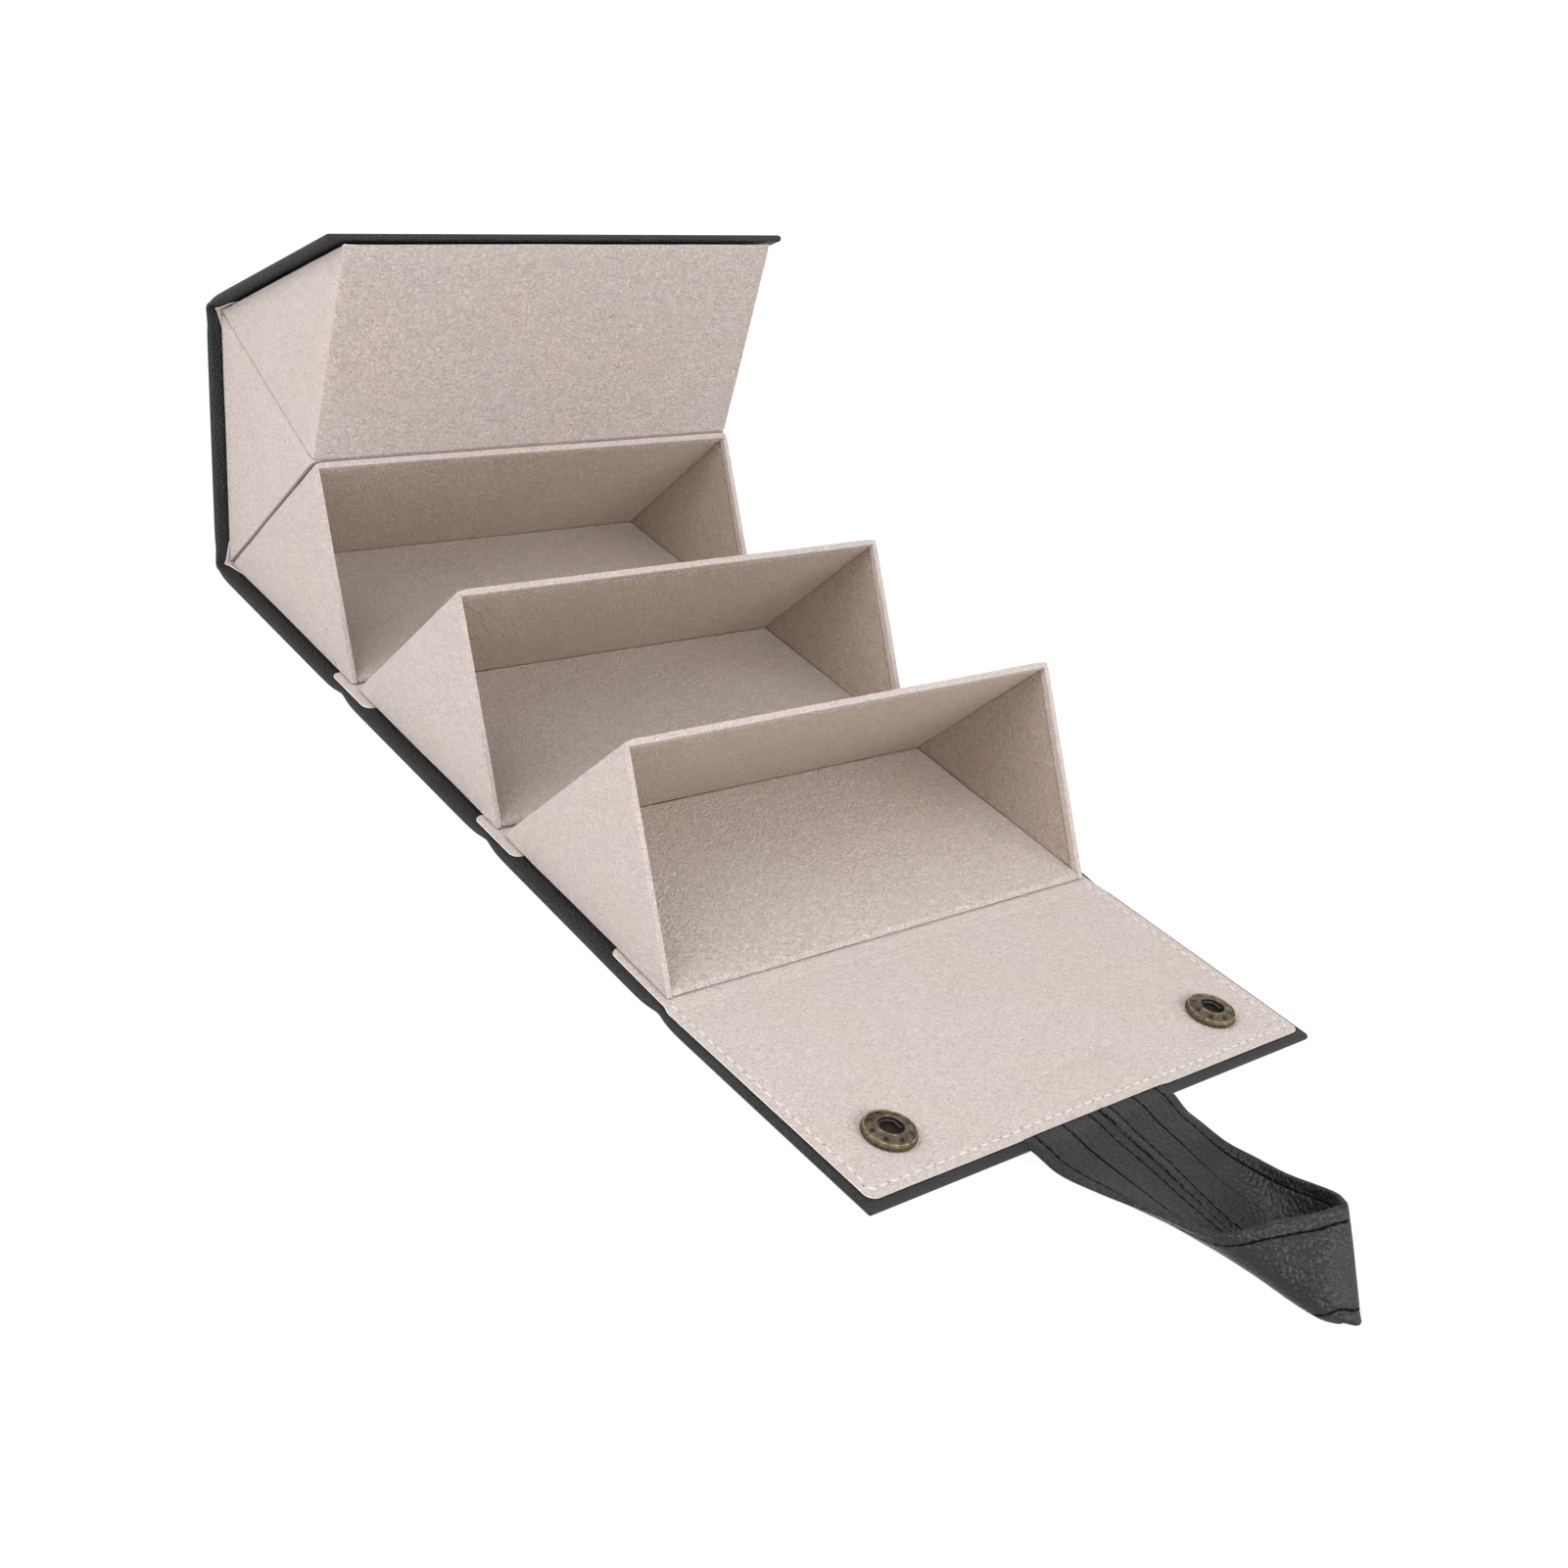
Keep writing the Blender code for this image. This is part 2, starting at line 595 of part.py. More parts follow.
def main():
    clear_scene()
    group = new_collection("sunglasses_box")
    cutters = new_collection("cutters")
    suede = new_material("suede", SUEDE_COLOUR, 0.95, 0)
    leather = new_material("leather", LEATHER_COLOUR, 0.5, 0)
    board = new_material("board", BOARD_COLOUR, 0.9, 0)
    brass = new_material("antique_brass", BRASS_COLOUR, 0.4, 1)
    steel = new_material("spring_steel", STEEL_COLOUR, 0.3, 1)

    # Every body's frame has its origin on its hinge line, level with the cover's upper face
    frame = add_empty("box_frame", group, None, place(0, 0, 0), 0)
    bodies = {"c": add_empty("body_c", group, frame, place(0, 0, 0), 0)}
    bodies["b"] = add_empty("hinge_bc", group, bodies["c"], place(0, 0, 0), ROLL)
    bodies["a"] = add_empty("hinge_ab", group, bodies["b"], place(0, -PITCH, 0), ROLL)
    bodies["d"] = add_empty("hinge_cd", group, bodies["c"], place(0, PITCH, 0), 0)
    bodies["e"] = add_empty("hinge_de", group, bodies["d"], place(0, PITCH, 0), 0)
    flap = add_empty("hinge_flap", group, bodies["e"], place(0, FLAP_HINGE, 0), -FLAP_REST_TILT)
    strap_axis = FLAP_LENGTH + STRAP_FLEX_AHEAD
    handle = add_empty("hinge_handle", group, flap, place(0, strap_axis, STRAP_LEVEL), FLAP_REST_TILT)
    bpy.context.view_layer.update()

    # Trays a and b hang on their front edges, the others on their back edges
    behind = -(TRAY_SPACING / 2 + TRAY_SIDE)
    ahead = TRAY_SPACING / 2
    for letter in TRAY_LETTERS:
        make_tray(letter, behind if letter in "ab" else ahead, group, bodies[letter], suede)

    crease = SKIN_CREASE_GAP / 2
    spans = {
        "a": (behind + COVER_SETBACK, -crease, True, False),
        "b": (crease - PITCH, -crease, False, False),
        "c": (crease, PITCH - crease, False, False),
        "d": (crease, PITCH - crease, False, False),
        "e": (crease, FLAP_HINGE - crease, False, False),
    }
    covers = {}
    for letter, (rear, front, rear_wrapped, front_wrapped) in spans.items():
        covers[letter] = make_cover(letter, rear, front, rear_wrapped, front_wrapped,
                                    group, cutters, bodies[letter], leather, board)

    # Each crease strip is glued to the trays' undersides on both sides of its hinge line
    parting = LINING_CREASE_GAP / 2
    for first, second in zip(TRAY_LETTERS, TRAY_LETTERS[1:]):
        overhang = REAR_STRIP_OVERHANG if first in "ab" else FRONT_STRIP_OVERHANG
        in_first = 0 if first in "ab" else PITCH
        in_second = -PITCH if second == "b" else 0
        make_strip(f"hinge_strip_{first}{second}_on_{first}", overhang, in_first - STRIP_REAR,
                   in_first - parting, STRIP_CORNER, 0, group, bodies[first], suede)
        make_strip(f"hinge_strip_{first}{second}_on_{second}", overhang, in_second + parting,
                   in_second + STRIP_FRONT, 0, STRIP_CORNER, group, bodies[second], suede)
    make_strip("flap_lining_tongue", FRONT_STRIP_OVERHANG, FLAP_HINGE - FLAP_HINGE_AHEAD - TONGUE_REAR,
               FLAP_HINGE - parting, LINING_CORNER, 0, group, bodies["e"], suede)

    make_flap(group, cutters, flap, suede, leather, board, brass, steel)
    along = -STUD_FROM_CREASE
    for side, x in (("left", -SNAP_SPREAD), ("right", SNAP_SPREAD)):
        make_snap_stud(side, x, along, group, bodies["a"], brass)
        for piece in covers["a"]:
            round_cutter(piece, f"{piece.name}_{side}_stud_hole", POST_RADIUS, place(x, along, 0),
                         4 * COVER_THICK, cutters, bodies["a"])

    bpy.context.view_layer.update()
    axis_height = handle.matrix_world.translation.z + COVER_THICK
    make_strap(group, handle, axis_height, leather)
    stand_on_base_centre(frame, group)


main()
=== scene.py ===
import json
import math

import bmesh
import bpy
from mathutils import Matrix, Vector, noise


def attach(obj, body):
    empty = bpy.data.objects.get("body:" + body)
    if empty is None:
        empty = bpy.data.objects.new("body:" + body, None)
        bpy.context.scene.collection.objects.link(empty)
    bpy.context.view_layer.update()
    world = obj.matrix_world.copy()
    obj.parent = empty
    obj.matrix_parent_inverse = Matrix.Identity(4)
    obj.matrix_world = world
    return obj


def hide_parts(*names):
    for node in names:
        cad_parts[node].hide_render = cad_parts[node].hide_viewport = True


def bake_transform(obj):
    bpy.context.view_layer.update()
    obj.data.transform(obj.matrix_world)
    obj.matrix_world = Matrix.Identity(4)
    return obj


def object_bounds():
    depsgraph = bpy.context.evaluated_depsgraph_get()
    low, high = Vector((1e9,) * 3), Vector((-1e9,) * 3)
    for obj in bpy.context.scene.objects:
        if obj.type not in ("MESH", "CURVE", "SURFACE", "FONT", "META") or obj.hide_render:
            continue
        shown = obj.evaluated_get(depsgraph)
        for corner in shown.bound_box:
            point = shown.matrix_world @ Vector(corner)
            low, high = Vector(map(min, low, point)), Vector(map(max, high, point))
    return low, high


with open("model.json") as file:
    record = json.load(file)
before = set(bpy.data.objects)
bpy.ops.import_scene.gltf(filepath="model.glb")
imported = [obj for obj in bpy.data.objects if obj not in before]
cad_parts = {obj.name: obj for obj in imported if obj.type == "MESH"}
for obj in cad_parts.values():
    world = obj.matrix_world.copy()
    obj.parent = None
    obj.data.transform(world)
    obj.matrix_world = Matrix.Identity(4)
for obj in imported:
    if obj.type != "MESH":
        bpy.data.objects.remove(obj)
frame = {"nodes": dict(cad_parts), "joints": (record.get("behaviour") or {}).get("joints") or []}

box_of_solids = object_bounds()
MM = 0.001

# The table, light and camera of a product shot.
# The table is a pale sheet that runs out of view and keeps the box's soft shadow. Two large soft
# lamps, a smaller one that brings out the leather's grain, and an even white surround light it.
CAMERA_AT = (-0.408016, -0.369753, 0.332696)
CAMERA_TURN = (59.40904, -13.98890, -39.47603)
CAMERA_LENS = 48.81253
WHITE = (1, 1, 1, 1)
SURROUND_STRENGTH = 0.58
TABLE_HALF = 4.0
TABLE_PAINT = (0.80, 0.80, 0.80, 1)
TABLE_GLOW = 1.25
NEAR_GLOW_SHARE = 0.76
GLOW_RISES = (0.4, 1.0)
LAMPS = (
    ("key_lamp", (-0.95, 0.15, 0.85), 0.9, 8.2),
    ("front_lamp", (0.75, -1.15, 0.60), 1.0, 3.8),
    ("near_lamp", (-0.15, -1.20, 0.80), 0.35, 6.9),
)


def add_object(name, data):
    """An object in the scene that holds a mesh, lamp or camera."""
    made = bpy.data.objects.new(name, data)
    bpy.context.scene.collection.objects.link(made)
    return made


def mesh_from(name, shape):
    """Mesh data from a modelled shape, which is freed."""
    mesh = bpy.data.meshes.new(name)
    shape.to_mesh(mesh)
    shape.free()
    return mesh


def feed(tree, socket, value):
    """Gives a socket another node's output, or a plain value."""
    if isinstance(value, bpy.types.NodeSocket):
        tree.links.new(value, socket)
    else:
        socket.default_value = value


def add_node(tree, kind, inputs=None, **settings):
    """A shader node, with its settings and what its inputs take."""
    made = tree.nodes.new(kind)
    for setting, value in settings.items():
        setattr(made, setting, value)
    for socket, value in (inputs or {}).items():
        feed(tree, made.inputs[socket], value)
    return made


def reckon(tree, operation, *values):
    return add_node(tree, "ShaderNodeMath", dict(enumerate(values)), operation=operation).outputs[0]


def remap(tree, value, span=(0.0, 1.0), to=(0.0, 1.0)):
    """A value stretched from one span to another, and held there."""
    return add_node(tree, "ShaderNodeMapRange", {
        "Value": value, "From Min": span[0], "From Max": span[1], "To Min": to[0], "To Max": to[1],
    }).outputs["Result"]


def seen_directly(tree):
    """1 where a ray comes from the camera, a mirror or clear material, and 0 elsewhere."""
    path = add_node(tree, "ShaderNodeLightPath").outputs
    seen = reckon(tree, "MAXIMUM", path["Is Camera Ray"], path["Is Glossy Ray"])
    return reckon(tree, "MAXIMUM", seen, path["Is Transmission Ray"])


camera_data = bpy.data.cameras.new("camera")
camera_data.sensor_fit = "HORIZONTAL"
camera_data.sensor_width = 36
camera_data.lens = CAMERA_LENS
camera_data.clip_start = 0.01
camera = add_object("camera", camera_data)
camera.location = CAMERA_AT
camera.rotation_euler = [math.radians(turn) for turn in CAMERA_TURN]
bpy.context.scene.camera = camera
bpy.context.scene.view_settings.view_transform = "Standard"

box_middle = (box_of_solids[0] + box_of_solids[1]) / 2
for lamp_name, lamp_at, lamp_size, lamp_watts in LAMPS:
    lamp_data = bpy.data.lights.new(lamp_name, "AREA")
    lamp_data.shape = "SQUARE"
    lamp_data.size = lamp_size
    lamp_data.energy = lamp_watts
    lamp = add_object(lamp_name, lamp_data)
    lamp.location = lamp_at
    lamp.rotation_euler = (box_middle - Vector(lamp_at)).to_track_quat("-Z", "Y").to_euler()

surround = bpy.data.worlds.new("surround")
surround.use_nodes = True
bpy.context.scene.world = surround
tree = surround.node_tree
background = tree.nodes["Background"].inputs
feed(tree, background["Color"], WHITE)
feed(tree, background["Strength"], remap(tree, seen_directly(tree), to=(SURROUND_STRENGTH, 1.0)))

table_paint = bpy.data.materials.new("table_paint")
table_paint.use_nodes = True
tree = table_paint.node_tree
tree.nodes.remove(tree.nodes["Principled BSDF"])
spot = add_node(tree, "ShaderNodeTexCoord").outputs["Object"]
away = add_node(tree, "ShaderNodeVectorMath", {0: spot}, operation="LENGTH").outputs["Value"]
far_glow = remap(tree, away, GLOW_RISES, (NEAR_GLOW_SHARE, 1.0))
painted = add_node(tree, "ShaderNodeMixShader", {
    "Fac": reckon(tree, "MULTIPLY", seen_directly(tree), far_glow),
    1: add_node(tree, "ShaderNodeBsdfDiffuse", {"Color": TABLE_PAINT}).outputs[0],
    2: add_node(tree, "ShaderNodeEmission", {"Color": WHITE, "Strength": TABLE_GLOW}).outputs[0],
})
feed(tree, tree.nodes["Material Output"].inputs["Surface"], painted.outputs[0])

shape = bmesh.new()
bmesh.ops.create_grid(shape, x_segments=1, y_segments=1, size=TABLE_HALF)
table = add_object("table", mesh_from("table", shape))
table.data.materials.append(table_paint)

# The five trays.
# Each is a back wall and two end caps of thin board with beige microsuede glued round them, and a
# floor board between. The suede is turned over the mouth's rims, and facings cover its raw edge.
TRAY_WIDTH = 165 * MM
TRAY_SIDE = 81.2 * MM
TRAY_WALL = 1.8 * MM
TRAY_SPACING = 1.6 * MM
TRAY_BASE = 0.7 * MM
PITCH = TRAY_SIDE + TRAY_SPACING
ROLL = 72
CORNER = math.radians(90 - ROLL / 2)
TURN_IN = 2.5 * MM
TURN_IN_STEP = 0.45 * MM
CUT_BELOW = 3 * MM
CUT_BEYOND_MOUTH = 12 * MM
FACING_EASE = 0.40 * MM
FACING_PROUD = 0.04 * MM
FLOOR_EASE = 0.12 * MM
SHARP = math.radians(25)
SHELL_ROUND = 2.0 * MM
FOOT_ROUND = 0.35 * MM
FOOT_GAP = 0.42 * MM
EDGE_FALL = 0.5 * MM
EDGE_FALL_REACH = 2.4 * MM
EDGE_CUTS = (1.0 * MM, 2.0 * MM, 3.0 * MM, 4.2 * MM)
MOUTH_ROUND = 0.45 * MM
FLOOR_ROUND = 0.45 * MM
FACING_ROUND = 0.12 * MM
NAP_CELL = 6 * MM
WAVE_LENGTH = 28 * MM
WAVE_DEPTH = 0.14 * MM
RIPPLE_LENGTH = 5 * MM
RIPPLE_DEPTH = 0.06 * MM
UNEVENNESS_SEED = 1
WELD = 0.001 * MM
TINY = 0.01 * MM
SUEDE_COLOUR = (0.845, 0.742, 0.698, 1)
SMOOTH_COLOUR = (0.795, 0.700, 0.662, 1)
LIT_FLOOR_COLOUR = (0.915, 0.815, 0.755, 1)
FOOT_SHADE_COLOUR = (0.20, 0.15, 0.125, 1)
SHADED_INNER_COLOUR = (0.755, 0.625, 0.525, 1)
SUEDE_GLOSS = {
    "Specular IOR Level": 0.2, "Sheen Weight": 0.25, "Sheen Roughness": 0.5, "Sheen Tint": (1, 0.95, 0.9, 1),
}
MATT = {"Specular IOR Level": 0.1}

joint_at = {joint["name"]: Vector(joint["pos_m"]) for joint in frame["joints"]}


def panel_frame(joint_name, roll_degrees):
    return Matrix.Translation(joint_at[joint_name]) @ Matrix.Rotation(math.radians(roll_degrees), 4, "X")


def place(x, along, height):
    """A point in a panel's own frame: along runs from the first tray towards the flap."""
    return Vector((x, -along, height))


panels = {
    "panel_a": panel_frame("hinge_ab", 2 * ROLL),
    "panel_b": panel_frame("hinge_bc", ROLL),
    "panel_c": panel_frame("hinge_bc", 0),
    "panel_d": panel_frame("hinge_cd", 0),
    "panel_e": panel_frame("hinge_de", 0),
}


def new_effect(name, inputs):
    """An effect group that puts out colour, roughness and height, with its inputs and its place."""
    effect = bpy.data.node_groups.new(name, "ShaderNodeTree")
    for socket, default in inputs.items():
        kind = "NodeSocketColor" if isinstance(default, tuple) else "NodeSocketFloat"
        effect.interface.new_socket(socket, in_out="INPUT", socket_type=kind).default_value = default
    for socket, kind in (("Colour", "Color"), ("Roughness", "Float"), ("Height", "Float")):
        effect.interface.new_socket(socket, in_out="OUTPUT", socket_type=f"NodeSocket{kind}")
    given = effect.nodes.new("NodeGroupInput").outputs
    return effect, given, add_node(effect, "ShaderNodeTexCoord").outputs["Object"]


def put_out(effect, colour, roughness, height):
    add_node(effect, "NodeGroupOutput", {"Colour": colour, "Roughness": roughness, "Height": height})


def add_noise(tree, spot, scale, detail=2.0, roughness=0.5, distortion=0.0):
    """A noise texture over the surface."""
    return add_node(tree, "ShaderNodeTexNoise", {
        "Vector": spot, "Scale": scale, "Detail": detail, "Roughness": roughness, "Distortion": distortion,
    }).outputs


def mix_colours(tree, share, first, second, blend="MIX"):
    return add_node(tree, "ShaderNodeMix", {"Factor": share, 6: first, 7: second},
                    data_type="RGBA", blend_type=blend).outputs[2]


def surface_material(name, effect, values, bump_strength, bump_distance, sockets):
    """A Principled material fed by an effect group's colour, roughness and height."""
    made = bpy.data.materials.new(name)
    made.use_nodes = True
    tree = made.node_tree
    over = add_node(tree, "ShaderNodeGroup", values, node_tree=effect).outputs
    bump = add_node(tree, "ShaderNodeBump", {
        "Strength": bump_strength, "Distance": bump_distance, "Height": over["Height"],
    }).outputs["Normal"]
    fed = {"Base Color": over["Colour"], "Roughness": over["Roughness"], "Normal": bump}
    for socket, value in (sockets | fed).items():
        feed(tree, tree.nodes["Principled BSDF"].inputs[socket], value)
    return made


nap, given, spot = new_effect("suede_nap", {"Colour": SUEDE_COLOUR, "Crinkle Scale": 1000.0, "Crinkle": 0.8})
mottle = add_noise(nap, spot, given["Crinkle Scale"], 1.5, 0.5, 1.6)["Fac"]
fibre = add_noise(nap, spot, 2600.0, 2.0, 0.6)["Fac"]
cloud = add_noise(nap, spot, 26.0)["Fac"]
shade = reckon(nap, "MULTIPLY", remap(nap, mottle, (0.32, 0.68)), given["Crinkle"])
darker = mix_colours(nap, shade, given["Colour"], (0.76, 0.74, 0.72, 1), "MULTIPLY")
clouded = remap(nap, cloud, (0.35, 0.65), (0.0, 0.55))
tinted = mix_colours(nap, clouded, darker, (1.0, 0.965, 0.93, 1), "MULTIPLY")
relief = reckon(nap, "ADD", mottle, reckon(nap, "MULTIPLY", fibre, 0.45))
put_out(nap, tinted, remap(nap, fibre, to=(0.86, 0.98)), relief)


def suede_finish(name, colour, crinkle_scale, crinkle, depth, strength=1.0, gloss=SUEDE_GLOSS):
    values = {"Colour": colour, "Crinkle Scale": crinkle_scale, "Crinkle": crinkle}
    return surface_material(name, nap, values, strength, depth, gloss)


suede = suede_finish("suede", SUEDE_COLOUR, 780.0, 0.95, 1.5 * MM)
smooth_suede = suede_finish("smooth_suede", SMOOTH_COLOUR, 900.0, 0.55, 0.9 * MM)
# The floor boards take a lighter copy of the suede: painted light on the trays' floors.
lit_floor_suede = suede_finish("lit_floor_suede", LIT_FLOOR_COLOUR, 780.0, 0.95, 1.5 * MM)
# The facings inside the trays take a darker, warmer copy of the suede: painted shade inside the trays.
shaded_inner_suede = suede_finish("shaded_inner_suede", SHADED_INNER_COLOUR, 780.0, 1.0, 1.6 * MM)
# A dark brown for each shell's foot: painted shade in the fine gap where the tray meets the lining.
painted_foot_shade = suede_finish("painted_foot_shade", FOOT_SHADE_COLOUR, 2000.0, 0.3, 0.1 * MM, 0.3, MATT)


def inset_triangle(back, floor, mouth):
    """The tray's section drawn in from its back wall, floor and mouth, as heel, toe and apex."""
    rise, run = math.sin(CORNER), math.cos(CORNER)
    top = (TRAY_SIDE * rise - back - mouth) / (2 * run)
    return (
        ((floor * run + back) / rise, floor),
        (TRAY_SIDE - (floor * run + mouth) / rise, floor),
        ((top * run + back) / rise, top),
    )


def bridge(shape, rings, closed=False):
    """Skins one ring of points after the next. A ring of one point is a tip."""
    onward = rings[1:] + rings[:1] if closed else rings[1:]
    for ring, following in zip(rings, onward):
        count = max(len(ring), len(following))
        for index in range(count):
            step = (index + 1) % count
            corners = (ring[index % len(ring)], ring[step % len(ring)],
                       following[step % len(following)], following[index % len(following)])
            shape.faces.new(list(dict.fromkeys(corners)))


def face_outwards(shape):
    bmesh.ops.recalc_face_normals(shape, faces=shape.faces)


def prism(section, left, right, start):
    """A closed prism across the box, from a section of along and height."""
    shape = bmesh.new()
    ends = [[shape.verts.new(place(x, start + along, TRAY_BASE + height)) for along, height in section]
            for x in (left, right)]
    shape.faces.new(ends[0])
    shape.faces.new(ends[1])
    bridge(shape, ends)
    face_outwards(shape)
    return shape


def convex_edges(shape):
    return [edge for edge in shape.edges if edge.is_convex and edge.calc_face_angle(0) > SHARP]


def round_edges(shape, width, segments=3):
    bmesh.ops.bevel(shape, geom=convex_edges(shape), offset=width, segments=segments, profile=0.5,
                    affect="EDGES", clamp_overlap=True)


def take_result(holder, *cutters):
    """What an object's modifiers make of its shape. The object and its cutters are cleared away."""
    graph = bpy.context.evaluated_depsgraph_get()
    mesh = bpy.data.meshes.new_from_object(holder.evaluated_get(graph))
    shape = bmesh.new()
    shape.from_mesh(mesh)
    for used in (holder, *cutters):
        bpy.data.objects.remove(used, do_unlink=True)
    bpy.data.meshes.remove(mesh)
    return shape


def carved(start, *prisms):
    """The first prism less the others. Each is a section and its half width."""
    parts = [add_object("carving", mesh_from("carving", prism(section, -half, half, start)))
             for section, half in prisms]
    for cutter in parts[1:]:
        cut = parts[0].modifiers.new("cut", "BOOLEAN")
        cut.operation = "DIFFERENCE"
        cut.solver = "EXACT"
        cut.object = cutter
    return take_result(*parts)


def on_mouth(vertex, start):
    """Whether a shell's point lies in the sloping plane of the tray's mouth."""
    along, height = -vertex.co.y - start, vertex.co.z - TRAY_BASE
    return abs((TRAY_SIDE - along) * math.sin(CORNER) - height * math.cos(CORNER)) < TINY


def at_foot(edge):
    """Whether an edge is the bottom of an end cap, which meets the lining along a fine dark line."""
    first, second = edge.verts
    low = all(abs(vertex.co.z - TRAY_BASE - FOOT_GAP) < TINY for vertex in edge.verts)
    return low and abs(first.co.y - second.co.y) > 1 * MM


def round_shell(shape, start):
    """Softly rounded where the suede wraps the boards' outer edges, tighter at mouth and foot."""
    weight = shape.edges.layers.float.new("bevel_weight_edge")
    for edge in convex_edges(shape):
        at_mouth = all(on_mouth(vertex, start) for vertex in edge.verts)
        width = MOUTH_ROUND if at_mouth else FOOT_ROUND if at_foot(edge) else SHELL_ROUND
        edge[weight] = width / SHELL_ROUND
    shell = add_object("shell", mesh_from("shell", shape))
    rounding = shell.modifiers.new("rounding", "BEVEL")
    rounding.limit_method = "WEIGHT"
    rounding.width = SHELL_ROUND
    rounding.segments = 4
    return take_result(shell)


def cut_across(shape, at, normal):
    geometry = shape.verts[:] + shape.edges[:] + shape.faces[:]
    bmesh.ops.bisect_plane(shape, geom=geometry, dist=WELD, plane_co=at, plane_no=normal)


def cut_into_cells(shape):
    """Cuts every face on an even grid, so that its points can be moved a little."""
    for axis in range(3):
        low = min(vertex.co[axis] for vertex in shape.verts)
        high = max(vertex.co[axis] for vertex in shape.verts)
        normal = Vector((axis == 0, axis == 1, axis == 2))
        cells = int((high - low) / NAP_CELL) + 1
        for index in range(1, cells):
            cut_across(shape, normal * (low + (high - low) * index / cells), normal)


def cut_near_edges(shape, start):
    """Finer cuts beside the shell's outer edges, where its padded faces fall away."""
    left = min(vertex.co.x for vertex in shape.verts)
    rise = math.sin(CORNER)
    for away in EDGE_CUTS:
        for side in (-1, 1):
            cut_across(shape, Vector((side * (-left - away), 0, 0)), Vector((1, 0, 0)))
        cut_across(shape, place(0, start, TRAY_BASE + away * rise), Vector((0, 0, 1)))
        cut_across(shape, place(0, start + away / rise, TRAY_BASE), Vector((0, rise, math.cos(CORNER))))


def fall_away(shape, start):
    """The suede is padded: a shell's outer faces fall away softly towards their edges."""
    rise, run = math.sin(CORNER), math.cos(CORNER)
    for vertex in shape.verts:
        along, height = -vertex.co.y - start, vertex.co.z - TRAY_BASE
        from_back = along * rise - height * run
        up_back = along * run + height * rise
        from_end = TRAY_WIDTH / 2 - abs(vertex.co.x)
        back_share = max(0, 1 - from_back / TRAY_WALL)
        end_share = max(0, 1 - from_end / TRAY_WALL)
        at_end, up, at_back = [EDGE_FALL * math.exp(-(away / EDGE_FALL_REACH) ** 2)
                               for away in (from_end, up_back, from_back)]
        inward = (at_end + up) * back_share
        vertex.co += Vector((-math.copysign(at_back * end_share, vertex.co.x), -inward * rise, -inward * run))


def mark_shell_faces(shape):
    """The suede is stretched smoother on end caps and rims, and its foot is painted dark brown: painted shade
    in the gap where it meets the lining.
    """
    out_of_mouth = Vector((0, -math.sin(CORNER), math.cos(CORNER)))
    foot = TRAY_BASE + FOOT_GAP + FOOT_ROUND
    for face in shape.faces:
        face.normal_update()
        looks_down = face.normal.z < -0.3
        looks_sideways = abs(face.normal.x) > 0.7
        if looks_down and face.calc_center_median().z < foot:
            face.material_index = 2
        elif looks_sideways or face.normal.dot(out_of_mouth) > 0.8:
            face.material_index = 1


def soften(shape, seed):
    """Small hand-made unevenness: a slow wave and a finer ripple."""
    offset = Vector((seed, seed * 1.7, seed * 0.6))
    for vertex in shape.verts:
        slow = noise.noise_vector(vertex.co / WAVE_LENGTH + offset)
        ripple = noise.noise_vector(vertex.co / RIPPLE_LENGTH + offset)
        vertex.co += slow * WAVE_DEPTH + ripple * RIPPLE_DEPTH


def finish_piece(name, shape, matrix, materials, sharp_degrees=35):
    """Turns the modelled shape into a piece in the row frame, with clean shading."""
    shape.transform(matrix)
    mesh = mesh_from(name, shape)
    for material in materials:
        mesh.materials.append(material)
    mesh.shade_smooth()
    mesh.set_sharp_from_angle(angle=math.radians(sharp_degrees))
    piece = add_object(name, mesh)
    flatten = piece.modifiers.new("even_shading", "WEIGHTED_NORMAL")
    flatten.keep_sharp = True
    return piece


